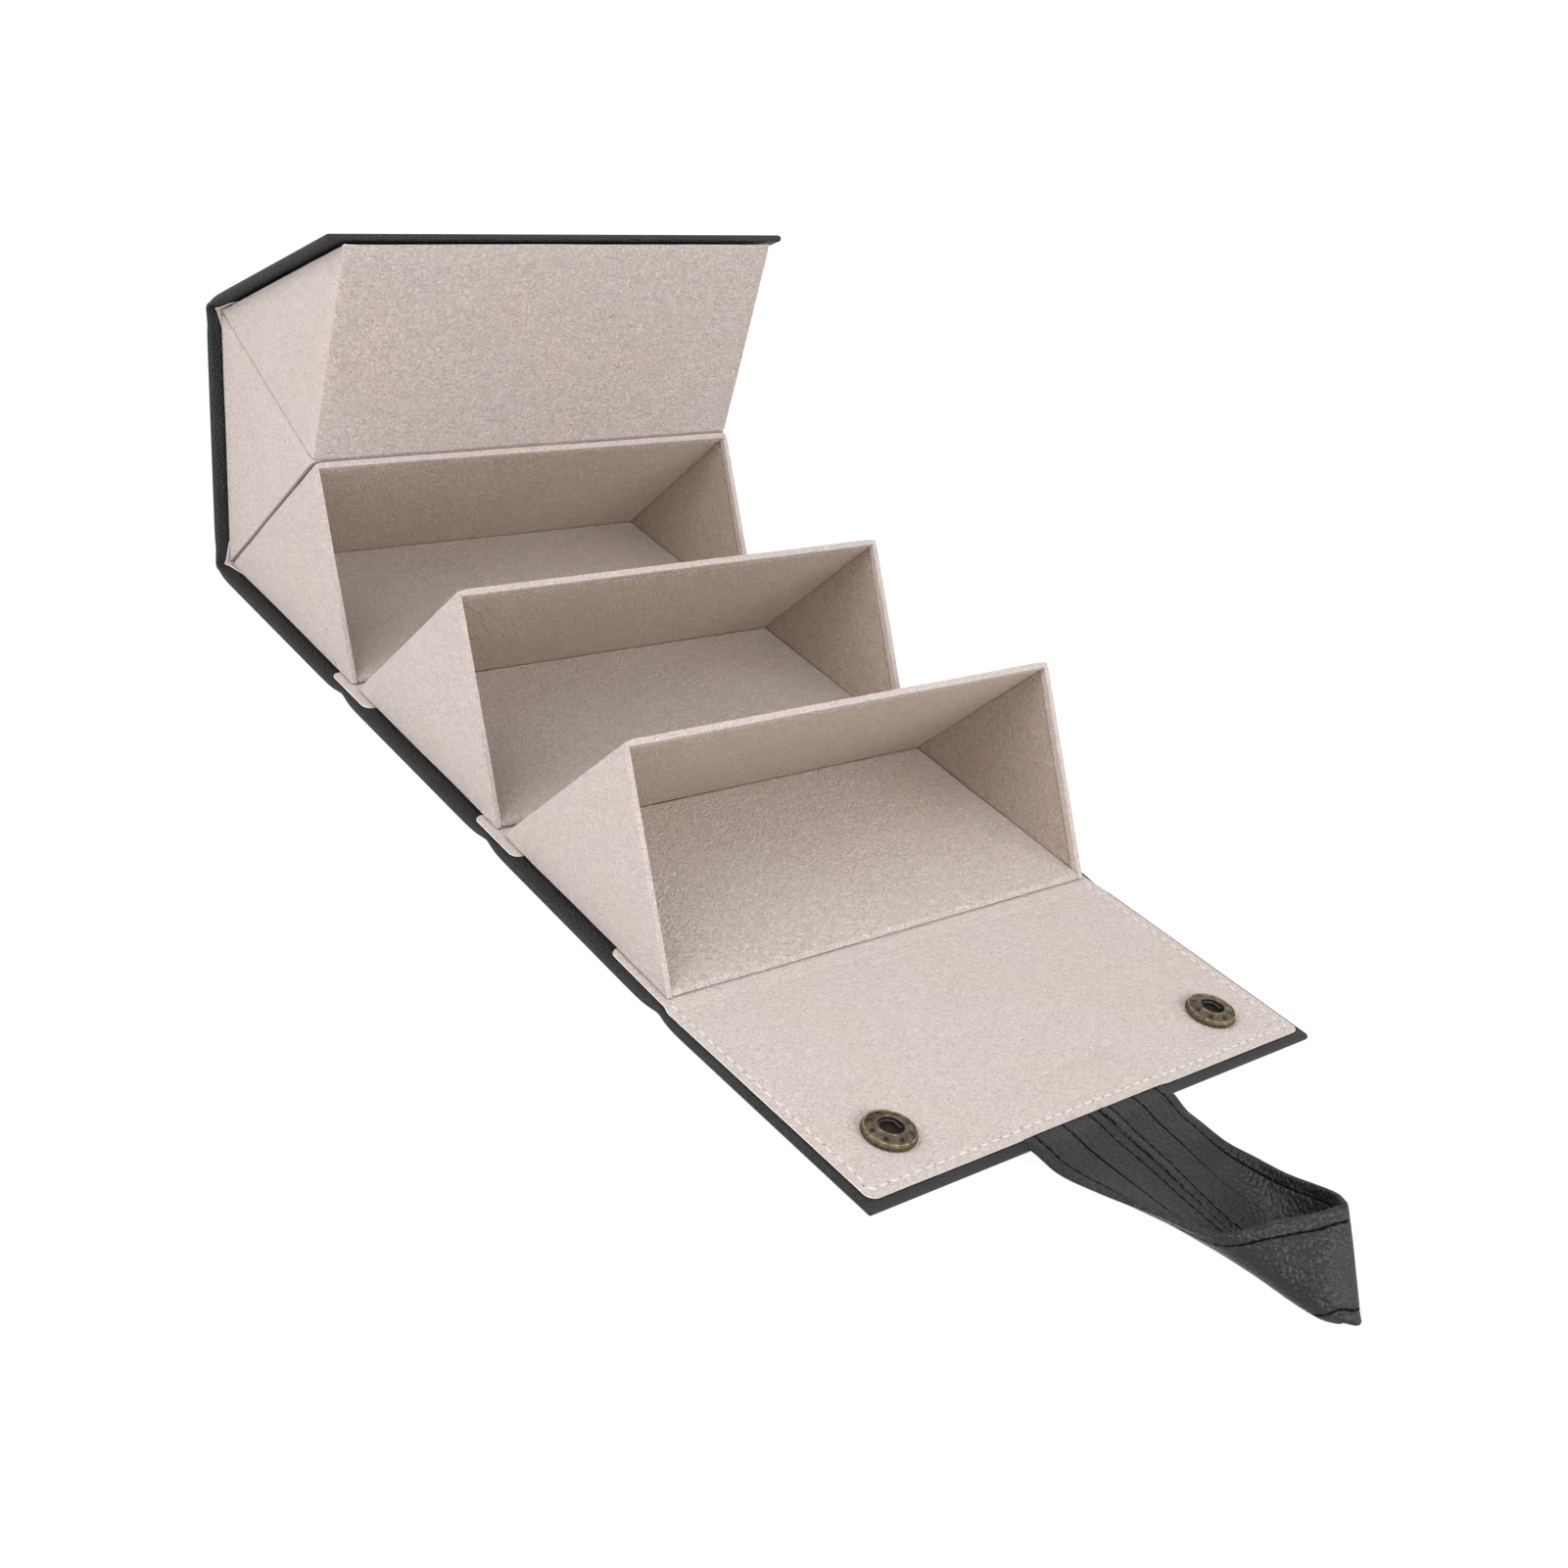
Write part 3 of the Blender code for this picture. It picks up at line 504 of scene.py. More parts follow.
# Left unseeded, the noise vectors would start from the clock and differ from run to run.
noise.seed_set(UNEVENNESS_SEED)
half_width = TRAY_WIDTH / 2
clear_half = half_width - TRAY_WALL
floor_half = clear_half - FLOOR_EASE
above_floor = TRAY_WALL + FLOOR_EASE
below_rim = TURN_IN + FACING_EASE
facing_outer = clear_half + TURN_IN_STEP - FLOOR_EASE
facing_inner = clear_half - FACING_PROUD
for letter in "abcde":
    body = f"panel_{letter}"
    start = -(TRAY_SPACING / 2 + TRAY_SIDE) if letter in "ab" else TRAY_SPACING / 2

    outside = inset_triangle(0, FOOT_GAP, 0)
    hollow = inset_triangle(TRAY_WALL, -CUT_BELOW, -CUT_BEYOND_MOUTH)
    recess = inset_triangle(TRAY_WALL - TURN_IN_STEP, -CUT_BELOW, TURN_IN)
    shape = carved(start, (outside, half_width), (hollow, clear_half), (recess, clear_half + TURN_IN_STEP))
    shape = round_shell(shape, start)
    cut_into_cells(shape)
    cut_near_edges(shape, start)
    fall_away(shape, start)
    mark_shell_faces(shape)
    soften(shape, ord(letter))
    finishes = (suede, smooth_suede, painted_foot_shade)
    shell = finish_piece(f"tray_{letter}_shell", shape, panels[body], finishes)
    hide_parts(f"tray_{letter}_back_wall", f"tray_{letter}_left_end", f"tray_{letter}_right_end")
    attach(shell, body)

    heel, toe, _ = inset_triangle(above_floor, FOOT_GAP, 0)
    heel_top, toe_top, _ = inset_triangle(above_floor, TRAY_WALL, 0)
    shape = prism((heel, toe, toe_top, heel_top), -floor_half, floor_half, start)
    round_edges(shape, FLOOR_ROUND)
    cut_into_cells(shape)
    soften(shape, ord(letter) + 0.3)
    floor = finish_piece(f"tray_{letter}_floor_board", shape, panels[body], (lit_floor_suede,))
    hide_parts(f"tray_{letter}_floor")
    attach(floor, body)

    end_section = inset_triangle(above_floor, above_floor, below_rim)
    low_heel, _, high_heel = inset_triangle(above_floor - TURN_IN_STEP, above_floor, below_rim)
    low_face, _, high_face = inset_triangle(TRAY_WALL + FACING_PROUD, above_floor, below_rim)
    for side, section, left, right in (
        ("left", end_section, -facing_outer, -facing_inner),
        ("right", end_section, facing_inner, facing_outer),
        ("back", (low_heel, low_face, high_face, high_heel), -floor_half, floor_half),
    ):
        shape = prism(section, left, right, start)
        round_edges(shape, FACING_ROUND, 2)
        facing = finish_piece(f"tray_{letter}_{side}_facing", shape, panels[body], (shaded_inner_suede,))
        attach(facing, body)

# The folding cover.
# One long sheet of black grained leather cloth is folded round six stiff boards and turned in at
# its edges. Between the boards it is pinched into a crease, where the row of trays rolls up.
COVER_HALF = 87.5 * MM
COVER_THICK = 2.4 * MM
COVER_SETBACK = 0.5 * MM
COVER_EDGE = 1.15 * MM
COVER_CORNER = 0.8 * MM
COVER_STEP = 4 * MM
COVER_UNDER_TRAYS = 0.05 * MM
CORNER_STOP_SHARES = (0.02, 0.1, 0.25, 0.5, 0.8, 1.2)
EDGE_LEAST_SHARE = 0.06
CREASE_REACH = 1.5 * MM
CREASE_TAPER = 4.4 * MM
CREASE_THIN = 0.95 * MM
CREASE_SINK = 0.15 * MM
CREASE_DRAW_IN = 0.8 * MM
ROLLED_DRAW_IN = 1.0 * MM
ROLLED_DRAW_REACH = 6 * MM
FLAP_PINCH_BACK = 3.0 * MM
BOARD_INSET = 0.65 * MM
BOARD_FROM_CREASE = 1.5 * MM
BOARD_STEPS = 60
BOARD_COLOUR = (0.30, 0.27, 0.23, 1)
FLAP_HINGE_AHEAD = 4.6 * MM
FLAP_LENGTH = 82.9 * MM
FLAP_REST_TILT = 2.8
LEATHER_COLOUR = (0.026, 0.0262, 0.027, 1)
RUBBED_COLOUR = (0.052, 0.052, 0.053, 1)
CREASES = {
    "ab": ("panel_a", "panel_b", "hinge_ab", ROLL, ROLL),
    "bc": ("panel_b", "panel_c", "hinge_bc", 0, ROLL),
    "cd": ("panel_c", "panel_d", "hinge_cd", 0, 0),
    "de": ("panel_d", "panel_e", "hinge_de", 0, 0),
    "flap": ("panel_e", "flap", "hinge_flap", -FLAP_REST_TILT, FLAP_REST_TILT),
}

flap_frame = panels["flap"] = panel_frame("hinge_flap", -FLAP_REST_TILT)

grain, given, spot = new_effect(
    "leather_grain", {"Colour": LEATHER_COLOUR, "Grain Scale": 900.0, "Rub": 0.3, "Polish": 0.42})
wander = add_noise(grain, spot, 480.0)["Color"]
push = add_node(grain, "ShaderNodeVectorMath", {0: wander, 1: (0.0006, 0.0006, 0.0006), 2: spot},
                operation="MULTIPLY_ADD").outputs[0]
pebble = add_node(grain, "ShaderNodeTexVoronoi", {"Vector": push, "Scale": given["Grain Scale"]},
                  feature="SMOOTH_F1").outputs["Distance"]
pores = add_noise(grain, spot, 3200.0)["Fac"]
rub = add_noise(grain, spot, 60.0, 4.0, 0.6)["Fac"]
worn = reckon(grain, "MULTIPLY", remap(grain, rub, (0.45, 0.75)), given["Rub"])
rubbed = mix_colours(grain, worn, given["Colour"], RUBBED_COLOUR)
valley = remap(grain, pebble, (0.25, 0.7), (0.0, 0.6))
grained = mix_colours(grain, valley, rubbed, (0.45, 0.45, 0.45, 1), "MULTIPLY")
gloss = reckon(grain, "MULTIPLY_ADD", rub, 0.2, given["Polish"])
pebbled = remap(grain, pebble, (0.0, 0.8), (1.0, 0.0))
put_out(grain, grained, gloss, reckon(grain, "ADD", pebbled, reckon(grain, "MULTIPLY", pores, 0.25)))
leather = surface_material(
    "black_leather", grain, {"Colour": LEATHER_COLOUR, "Grain Scale": 1400.0, "Rub": 0.4},
    1.0, 0.50 * MM, {"Specular IOR Level": 0.30})


def ease(share):
    share = max(0.0, min(1.0, share))
    return share * share * (3 - 2 * share)


def even_columns(count):
    return [2 * column / count - 1 for column in range(count + 1)]


def slab(sections, columns, lift=None):
    """A closed flat form through sections of along, half width, low and high, with round edges."""
    shape = bmesh.new()
    turns = 6
    rings = []
    for along, half, low, high in sections:
        middle = (low + high) / 2
        radius = max((high - low) / 2, TINY)
        straight = max(half - radius, TINY)
        outline = []
        for side, level, across in ((1, high, columns), (-1, low, reversed(columns))):
            outline += [(straight * column, level) for column in across]
            for turn in range(1, turns):
                angle = math.pi * (side / 2 - turn / turns)
                outline.append((side * straight + radius * math.cos(angle),
                                middle + radius * math.sin(angle)))
        rings.append([shape.verts.new(place(x, along, height + (lift(x, along) if lift else 0)))
                      for x, height in outline])
    bridge(shape, rings)
    shape.faces.new(rings[0])
    shape.faces.new(rings[-1])
    face_outwards(shape)
    return shape


def cross_crease(piece_name, shape, crease, reach, materials, sharp_degrees=50):
    """Makes a piece that lies over a crease, bent there at rest."""
    first, second, joint, roll, rest_bend = CREASES[crease]
    bend = math.radians(rest_bend)
    for vertex in shape.verts:
        share = 1 - ease((-vertex.co.y + reach) / (2 * reach))
        vertex.co = Matrix.Rotation(bend * share, 3, "X") @ vertex.co
    second_frame = panel_frame(joint, roll)
    piece = finish_piece(piece_name, shape, second_frame, materials, sharp_degrees)
    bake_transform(piece)
    return piece


def pinch_at(away):
    """How far the cover is pinched, from 1 in a crease to 0 where the board is at its full size."""
    return math.exp(-abs(away / CREASE_TAPER) ** 1.6)


def rolled_draw(crease, along):
    """The panel between the two rolled creases is drawn in a little along its sides."""
    into_it = {"ab": along, "bc": -along}.get(crease, 0)
    return ROLLED_DRAW_IN * ease(into_it / ROLLED_DRAW_REACH)


def rounded_half(along, half, corners):
    """Half width of a flat outline at a place along it. A corner is its end and its radius."""
    for end, radius in corners:
        inward = abs(along - end)
        if inward < radius:
            half -= radius - math.sqrt(max(radius ** 2 - (radius - inward) ** 2, 0))
    return half


def even_stops(first_end, second_end, step):
    length = second_end - first_end
    count = int(length / step)
    return {first_end + length * index / count for index in range(count + 1)}


def cover_sections(crease, first_end, second_end, free_ends):
    """Sections from the first end, over the crease at 0, to the second end."""
    pinch_back = FLAP_PINCH_BACK if crease == "flap" else 0
    stops = even_stops(first_end, second_end, COVER_STEP)
    for index in range(-8, 9):
        stops |= {index * CREASE_REACH / 4, index * CREASE_TAPER / 4 - pinch_back}
    for end in free_ends:
        inwards = 1 if end == first_end else -1
        stops |= {end + inwards * COVER_CORNER * share for share in CORNER_STOP_SHARES}
    sections = []
    for along in sorted(stops):
        pinch = pinch_at(along + pinch_back)
        half = COVER_HALF - CREASE_DRAW_IN * pinch - rolled_draw(crease, along)
        low = -COVER_THICK + CREASE_THIN * pinch
        high = -COVER_UNDER_TRAYS - CREASE_SINK * pinch
        for end in free_ends:
            inward = abs(along - end)
            if inward < COVER_EDGE:
                share = max(math.sqrt(1 - (1 - inward / COVER_EDGE) ** 2), EDGE_LEAST_SHARE)
                middle = (low + high) / 2
                low, high = middle + (low - middle) * share, middle + (high - middle) * share
        half = rounded_half(along, half, [(end, COVER_CORNER) for end in free_ends])
        sections.append((along, half, low, high))
    return sections


half_pitch = PITCH / 2
free_rear = -(TRAY_SPACING / 2 + TRAY_SIDE) + COVER_SETBACK
flap_crease = PITCH - TRAY_SPACING / 2 + FLAP_HINGE_AHEAD
for crease, first_end, second_end, free_ends, skins in (
    ("ab", free_rear, half_pitch, [free_rear], "a"),
    ("bc", -half_pitch, half_pitch, [], "b"),
    ("cd", -half_pitch, half_pitch, [], "c"),
    ("de", -half_pitch, half_pitch, [], "d"),
    ("flap", half_pitch - flap_crease, FLAP_LENGTH, [FLAP_LENGTH], ("e", "flap")),
):
    shape = slab(cover_sections(crease, first_end, second_end, free_ends), even_columns(24))
    piece = cross_crease(f"cover_leather_{crease}", shape, crease, CREASE_REACH, (leather,))
    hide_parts(*(f"cover_skin_{skin}" for skin in skins))

pulp, given, spot = new_effect("board_fibre", {"Colour": BOARD_COLOUR})
fleck = add_noise(pulp, spot, 900.0, 4.0, 0.7)["Fac"]
flecked = mix_colours(pulp, fleck, given["Colour"], (0.55, 0.52, 0.48, 1), "MULTIPLY")
put_out(pulp, flecked, remap(pulp, fleck, to=(0.8, 1.0)), fleck)
stiff_board = surface_material("stiff_board", pulp, {}, 0.3, 0.1 * MM, {})

for name, start, end in (
    ("a", free_rear, 0), ("b", -PITCH, 0), ("c", 0, PITCH), ("d", 0, PITCH), ("e", 0, flap_crease),
    ("flap", 0, FLAP_LENGTH),
):
    body = name if name == "flap" else f"panel_{name}"
    board_start = start + (BOARD_INSET if name == "a" else BOARD_FROM_CREASE)
    board_end = end - (BOARD_INSET if name == "flap" else BOARD_FROM_CREASE)
    pinches = []
    if name != "a":
        pinches.append(start - (FLAP_PINCH_BACK if name == "flap" else 0))
    if name != "flap":
        pinches.append(end - (FLAP_PINCH_BACK if name == "e" else 0))
    sections = []
    for index in range(BOARD_STEPS + 1):
        along = board_start + (board_end - board_start) * index / BOARD_STEPS
        pinch = sum(pinch_at(along - pinched) for pinched in pinches)
        half = COVER_HALF - BOARD_INSET - CREASE_DRAW_IN * pinch - (ROLLED_DRAW_IN if name == "b" else 0)
        sections.append((along, half, -COVER_THICK + BOARD_INSET + CREASE_THIN * pinch, -BOARD_INSET))
    shape = slab(sections, even_columns(4))
    board = finish_piece(f"board_in_cover_{name}", shape, panels[body], (stiff_board,), 50)
    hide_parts(f"cover_board_{name}")
    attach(board, body)

# The crease linings.
# Strips of the same suede are glued under the trays, across each crease, so that no bare cloth
# shows there. On the two front creases their ends stick out past the trays as small tabs.
LINING_LOW = 0.12 * MM
LINING_HIGH = 0.55 * MM
LINING_REACH = 1.6 * MM
LINING_STOP_SHARES = (0.03, 0.1, 0.22, 0.4, 0.65, 1.0)
STRIP_REAR = 9.2 * MM
STRIP_FRONT = 12 * MM
STRIP_CORNER = 2.5 * MM
STRIP_STEP = 2 * MM
REAR_OVERHANG = 1.8 * MM
REAR_TAPERS = (2.2 * MM, 2.8 * MM)
FRONT_OVERHANG = 3.0 * MM
NO_TAPERS = (0, 0)
EDGE_HIGHLIGHT_COLOUR = (0.90, 0.87, 0.84, 1)

# A pale suede for the sheets' cut edges: a painted highlight along each edge.
edge_highlight_suede = suede_finish("suede_edge_highlight", EDGE_HIGHLIGHT_COLOUR, 1600.0, 0.2, 0.2 * MM, 0.5,
                        {"Specular IOR Level": 0.2})
sheet_finishes = (smooth_suede, edge_highlight_suede)


def mark_cut_edge(shape):
    """The sheet's cut edges take a pale colour: a painted highlight along them."""
    for face in shape.faces:
        face.normal_update()
        looks_sideways = abs(face.normal.z) < 0.9
        face.material_index = int(looks_sideways)


def lining_sections(half, low_end, high_end, corner, step, tapers=NO_TAPERS):
    """Sections of a flat sheet with rounded corners, which tapers before and after the crease."""
    stops = even_stops(low_end, high_end, step) | {high_end}
    stops |= {index * LINING_REACH / 4 for index in range(-4, 5)}
    for end, inwards in ((low_end, 1), (high_end, -1)):
        stops |= {end + inwards * corner * share for share in LINING_STOP_SHARES}
    corners = ((low_end, corner), (high_end, corner))
    sections = []
    for along in sorted(stops):
        tapered = half - tapers[along > 0] * min(1, abs(along) / STRIP_REAR) ** 0.7
        sections.append((along, rounded_half(along, tapered, corners), LINING_LOW, LINING_HIGH))
    return sections


for crease, overhang, tapers, held in (
    ("ab", REAR_OVERHANG, REAR_TAPERS, "folded"),
    ("bc", REAR_OVERHANG, REAR_TAPERS, "folded"),
    ("cd", FRONT_OVERHANG, NO_TAPERS, "laid"),
    ("de", FRONT_OVERHANG, NO_TAPERS, "laid"),
):
    sections = lining_sections(half_width + overhang, -STRIP_REAR, STRIP_FRONT, STRIP_CORNER,
                               STRIP_STEP, tapers)
    shape = slab(sections, even_columns(30))
    mark_cut_edge(shape)
    piece = cross_crease(f"crease_lining_{crease}", shape, crease, LINING_REACH, sheet_finishes)
    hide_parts(f"hinge_strip_{crease}_on_{crease[0]}", f"hinge_strip_{crease}_on_{crease[1]}")

# The flap's lining and its stitching.
# A suede sheet is glued to the inside of the flap and runs on as a tongue under the last tray.
# A row of off-white stitches holds it, 3 mm in from its edge, from the tray's corners round the end.
LINING_END_MARGIN = 2.6 * MM
LINING_CORNER = 2.8 * MM
LINING_STEP = 2.2 * MM
TONGUE_REAR = 24 * MM
TONGUE_NARROWER = 0.75 * MM
TONGUE_WIDENS_AT = 3.6 * MM
TONGUE_WIDENS_OVER = 3.2 * MM
TONGUE_STOPS = (-3.6 * MM, -3.3 * MM, -3.0 * MM, -2.6 * MM, -2.2 * MM, -1.7 * MM, -1.2 * MM, -0.7 * MM)
SNAP_SPREAD = 64.2 * MM
SNAP_ALONG = 63.3 * MM
SNAP_DIP = 0.08 * MM
SNAP_DIP_REACH = 11 * MM
STRAP_WIDTH = 26.6 * MM
STRAP_TAB = 17 * MM
STRAP_OFF_CENTRE = -3 * MM
TAB_LIFT = 0.45 * MM
TAB_HALF_SHARE = 0.47
TAB_FADE = 2 * MM
TAB_END_FADE = 2.5 * MM
LINING_WAVE = 0.10 * MM
LINING_WAVE_LENGTH = 22 * MM
LINING_WAVE_START = 10 * MM
PRESSED_LINES = ((0.4 * MM, 0.10 * MM), (4.6 * MM, 0.12 * MM))
PRESSED_HALF = 0.7 * MM
PRESSED_BOW = 0.5 * MM
PRESSED_BOW_LENGTH = 30 * MM
FLAP_BEND_REACH = 3 * MM
STITCH_PITCH = 3.9 * MM
STITCH_LENGTH = 3.25 * MM
STITCH_RADIUS = 0.24 * MM
STITCH_FROM_EDGE = 3.0 * MM
STITCH_GROOVE = 0.13 * MM
STITCH_GROOVE_HALF = 0.45 * MM
SEAM_CORNER = 0.8 * MM
SEAM_START = 1 * MM
OUTSIDE_SEAM = 0.5 * MM
BESIDE_SEAM = (-0.9 * MM, -0.5 * MM, -0.25 * MM, 0, 0.25 * MM, 0.5 * MM, 0.9 * MM)
HOLE_RADIUS = 0.24 * MM
HOLE_ASIDE = 0.32 * MM
HOLE_RIM = 0.02 * MM
HOLE_COVER = 0.012 * MM
HOLE_DEPTH = 0.12 * MM
HOLE_SHADE_COLOUR = (0.22, 0.17, 0.145, 1)
THREAD_COLOUR = (0.96, 0.94, 0.90, 1)
UP = Vector((0, 0, 1))

lining_end = FLAP_LENGTH - LINING_END_MARGIN
lining_half = half_width + FRONT_OVERHANG
seam_half = lining_half - STITCH_FROM_EDGE
seam_end = lining_end - STITCH_FROM_EDGE


def bump_over(value, low, high, fade):
    return ease((value - low + fade) / fade) * ease((high + fade - value) / fade)


def lining_lift(x, along):
    """Where the lining rises over the strap's tabs, dips at the snaps and lies unevenly."""
    raised = 0.0
    for side in (-1, 1):
        middle = STRAP_OFF_CENTRE + side * STRAP_WIDTH / 2
        tab_half = STRAP_WIDTH * TAB_HALF_SHARE
        tab = bump_over(x, middle - tab_half, middle + tab_half, TAB_FADE)
        raised += TAB_LIFT * tab * bump_over(along, FLAP_LENGTH - STRAP_TAB, FLAP_LENGTH, TAB_END_FADE)
        away = math.hypot(x - side * SNAP_SPREAD, along - SNAP_ALONG)
        raised -= SNAP_DIP * math.exp(-(away / SNAP_DIP_REACH) ** 4)
    wave = noise.noise(Vector((x, along, 0)) / LINING_WAVE_LENGTH)
    raised += LINING_WAVE * wave * ease(along / LINING_WAVE_START)
    for line_at, depth in PRESSED_LINES:
        bow = PRESSED_BOW * noise.noise(Vector((x / PRESSED_BOW_LENGTH, line_at, 0)))
        raised -= depth * math.exp(-((along - line_at - bow) / PRESSED_HALF) ** 2)
    from_seam = min(abs(abs(x) - seam_half), abs(along - seam_end))
    if abs(x) > seam_half + OUTSIDE_SEAM or along > seam_end + OUTSIDE_SEAM:
        from_seam = max(abs(x) - seam_half, along - seam_end)
    if along > -FLAP_HINGE_AHEAD:
        raised -= STITCH_GROOVE * math.exp(-(from_seam / STITCH_GROOVE_HALF) ** 2)
    return raised


tongue_end = -(FLAP_HINGE_AHEAD + TONGUE_REAR)
sections = lining_sections(lining_half, tongue_end, lining_end, LINING_CORNER, LINING_STEP)
fine_lines = [seam_end] + [line_at for line_at, _ in PRESSED_LINES]
finer = [line_at + offset for offset in BESIDE_SEAM for line_at in fine_lines]
for along in (*TONGUE_STOPS, *finer):
    half = rounded_half(along, lining_half, ((lining_end, LINING_CORNER),))
    sections.append((along, half, LINING_LOW, LINING_HIGH))
sections = [
    (along, half - TONGUE_NARROWER * (1 - ease((along + TONGUE_WIDENS_AT) / TONGUE_WIDENS_OVER)), low, high)
    for along, half, low, high in sorted(sections)
]
columns = even_columns(84)
for offset in BESIDE_SEAM:
    share = (seam_half + offset) / (lining_half - (LINING_HIGH - LINING_LOW) / 2)
    columns += [share, -share]
shape = slab(sections, sorted(columns), lining_lift)
mark_cut_edge(shape)
lining = cross_crease("flap_lining_suede", shape, "flap", FLAP_BEND_REACH, sheet_finishes)
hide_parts("flap_lining", "flap_lining_tongue")

twine, given, spot = new_effect("thread_fibre", {"Colour": THREAD_COLOUR, "Twist Scale": 2600.0})
twist = add_noise(twine, spot, given["Twist Scale"])["Fac"]
strand = mix_colours(twine, twist, given["Colour"], (0.82, 0.80, 0.78, 1), "MULTIPLY")
put_out(twine, strand, remap(twine, twist, to=(0.6, 0.9)), twist)
white_thread = surface_material("off_white_thread", twine, {"Colour": THREAD_COLOUR}, 0.4, 0.1 * MM,
                                {"Sheen Weight": 0.2})
# Dark brown cones in the needle holes: painted shade inside the holes.
needle_shade = suede_finish("needle_shade", HOLE_SHADE_COLOUR, 2000.0, 0.3, 0.1 * MM, 0.3, MATT)


def ring_round(shape, centre, sideways, upward, radius):
    """Eight points round a centre."""
    return [shape.verts.new(centre + (sideways * math.cos(angle) + upward * math.sin(angle)) * radius)
            for angle in (math.tau * turn / 8 for turn in range(8))]


def add_stitch(shape, start, end, radius):
    """One stitch: a short thread that dives into the cloth at both ends."""
    length = (end - start).length
    forward = (end - start).normalized()
    side = UP.cross(forward).normalized()
    up = forward.cross(side)
    rounds = 6
    rings = []
    for index in range(1, rounds):
        share = index / rounds
        swell = math.sin(math.pi * share) ** 0.45
        dive = (2 * share - 1) ** 4
        centre = start + forward * (length * share) - up * radius * (0.25 + 1.2 * dive)
        rings.append(ring_round(shape, centre, side, up, radius * swell))
    bridge(shape, rings)
    for ring, end_at in ((rings[0], start), (rings[-1], end)):
        bridge(shape, [ring, [shape.verts.new(end_at - up * radius * 1.6)]])


def walk(points, pitch):
    """Evenly spaced places with their direction, along a line of points."""
    lengths = [(after - before).length for before, after in zip(points, points[1:])]
    total = sum(lengths)
    count = int(total / pitch)
    found = []
    index, passed = 0, 0.0
    for step in range(count):
        wanted = (step + 0.5) * total / count
        while index < len(lengths) - 1 and passed + lengths[index] < wanted:
            passed += lengths[index]
            index += 1
        share = (wanted - passed) / lengths[index]
        direction = (points[index + 1] - points[index]).normalized()
        found.append((points[index].lerp(points[index + 1], share), direction))
    return found


def on_lining(point):
    return point + UP * (LINING_HIGH + lining_lift(point.x, -point.y))


seam = [place(-seam_half, -FLAP_HINGE_AHEAD + SEAM_START, 0)]
for centre_x, first_angle in ((-seam_half + SEAM_CORNER, 180), (seam_half - SEAM_CORNER, 90)):
    for turn in range(4):
        angle = math.radians(first_angle - 30 * turn)
        seam.append(place(centre_x + SEAM_CORNER * math.cos(angle),
                          seam_end - SEAM_CORNER + SEAM_CORNER * math.sin(angle), 0))
seam.append(place(seam_half, -FLAP_HINGE_AHEAD + SEAM_START, 0))
threads, holes = bmesh.new(), bmesh.new()
for middle, direction in walk(seam, STITCH_PITCH):
    reach = direction * STITCH_LENGTH / 2
    add_stitch(threads, on_lining(middle - reach), on_lining(middle + reach), STITCH_RADIUS)
    hole_at = on_lining(middle - direction * STITCH_PITCH / 2 - direction.cross(UP) * HOLE_ASIDE)
    rim = ring_round(holes, hole_at + UP * HOLE_RIM, Vector((1, 0, 0)), Vector((0, 1, 0)), HOLE_RADIUS)
    for level in (HOLE_COVER, -HOLE_DEPTH):
        bridge(holes, [rim, [holes.verts.new(hole_at + UP * level)]])
for name, shape, material in (("stitching", threads, white_thread), ("needle_holes", holes, needle_shade)):
    face_outwards(shape)
    cross_crease(f"flap_{name}", shape, "flap", FLAP_BEND_REACH, (material,), 60)

# The strap handle.
# A strip of the cover's leather is folded in so that its edges meet in a seam on the inner face, and
# sewn near both edges. It leaves the flap as two flat legs, and rises on edge to turn at its tip.
STRAP_THICK = 1.6 * MM
STRAP_LEG_GAP = 0.1 * MM
STRAP_REACH = 76.5 * MM
STRAP_RISE = 21.4 * MM
STRAP_START = 0.2 * MM
STRAP_FALL_SHARE = 0.6
STRAP_ROUND = 0.8 * MM
STRAP_SEAM_DEPTH = 0.62 * MM
STRAP_SEAM_HALF = 0.33 * MM
STRAP_THREAD = 0.25 * MM
STRAP_STITCH_PITCH = 3.0 * MM
STRAP_STITCH_IN = 3.8 * MM
STRAP_STITCH_DIVE = 0.12 * MM
STRAP_GROOVE = 0.34 * MM
STRAP_GROOVE_HALF = 0.3 * MM
STRAP_UNEVEN = 0.08 * MM
STRAP_UNEVEN_LENGTH = 9 * MM
STRAP_WRINKLE = 0.11 * MM
STRAP_WRINKLE_LENGTH = 1.2 * MM
STRAP_WRINKLE_WIDTH = 6 * MM
STRAP_WRINKLED_FROM_EDGE = 9 * MM
STRAP_TURN_SHARE = 0.56
STRAP_TURN_SPAN_SHARE = 0.14
STRAP_CURL = 0.55 * MM
STRAP_CURL_REACH = 1.5 * MM
STRAP_RAISED = 0.66 * MM
STRAP_RAISED_SHARE = 0.09
STRAP_IN_FLAP = 0.45 * MM
STRAP_TAB_STOPS = (STRAP_TAB, 12 * MM, 8 * MM, 5 * MM, 3 * MM, 1.5 * MM, 0.6 * MM, 0.0)
GROUND_EASE = 0.02 * MM
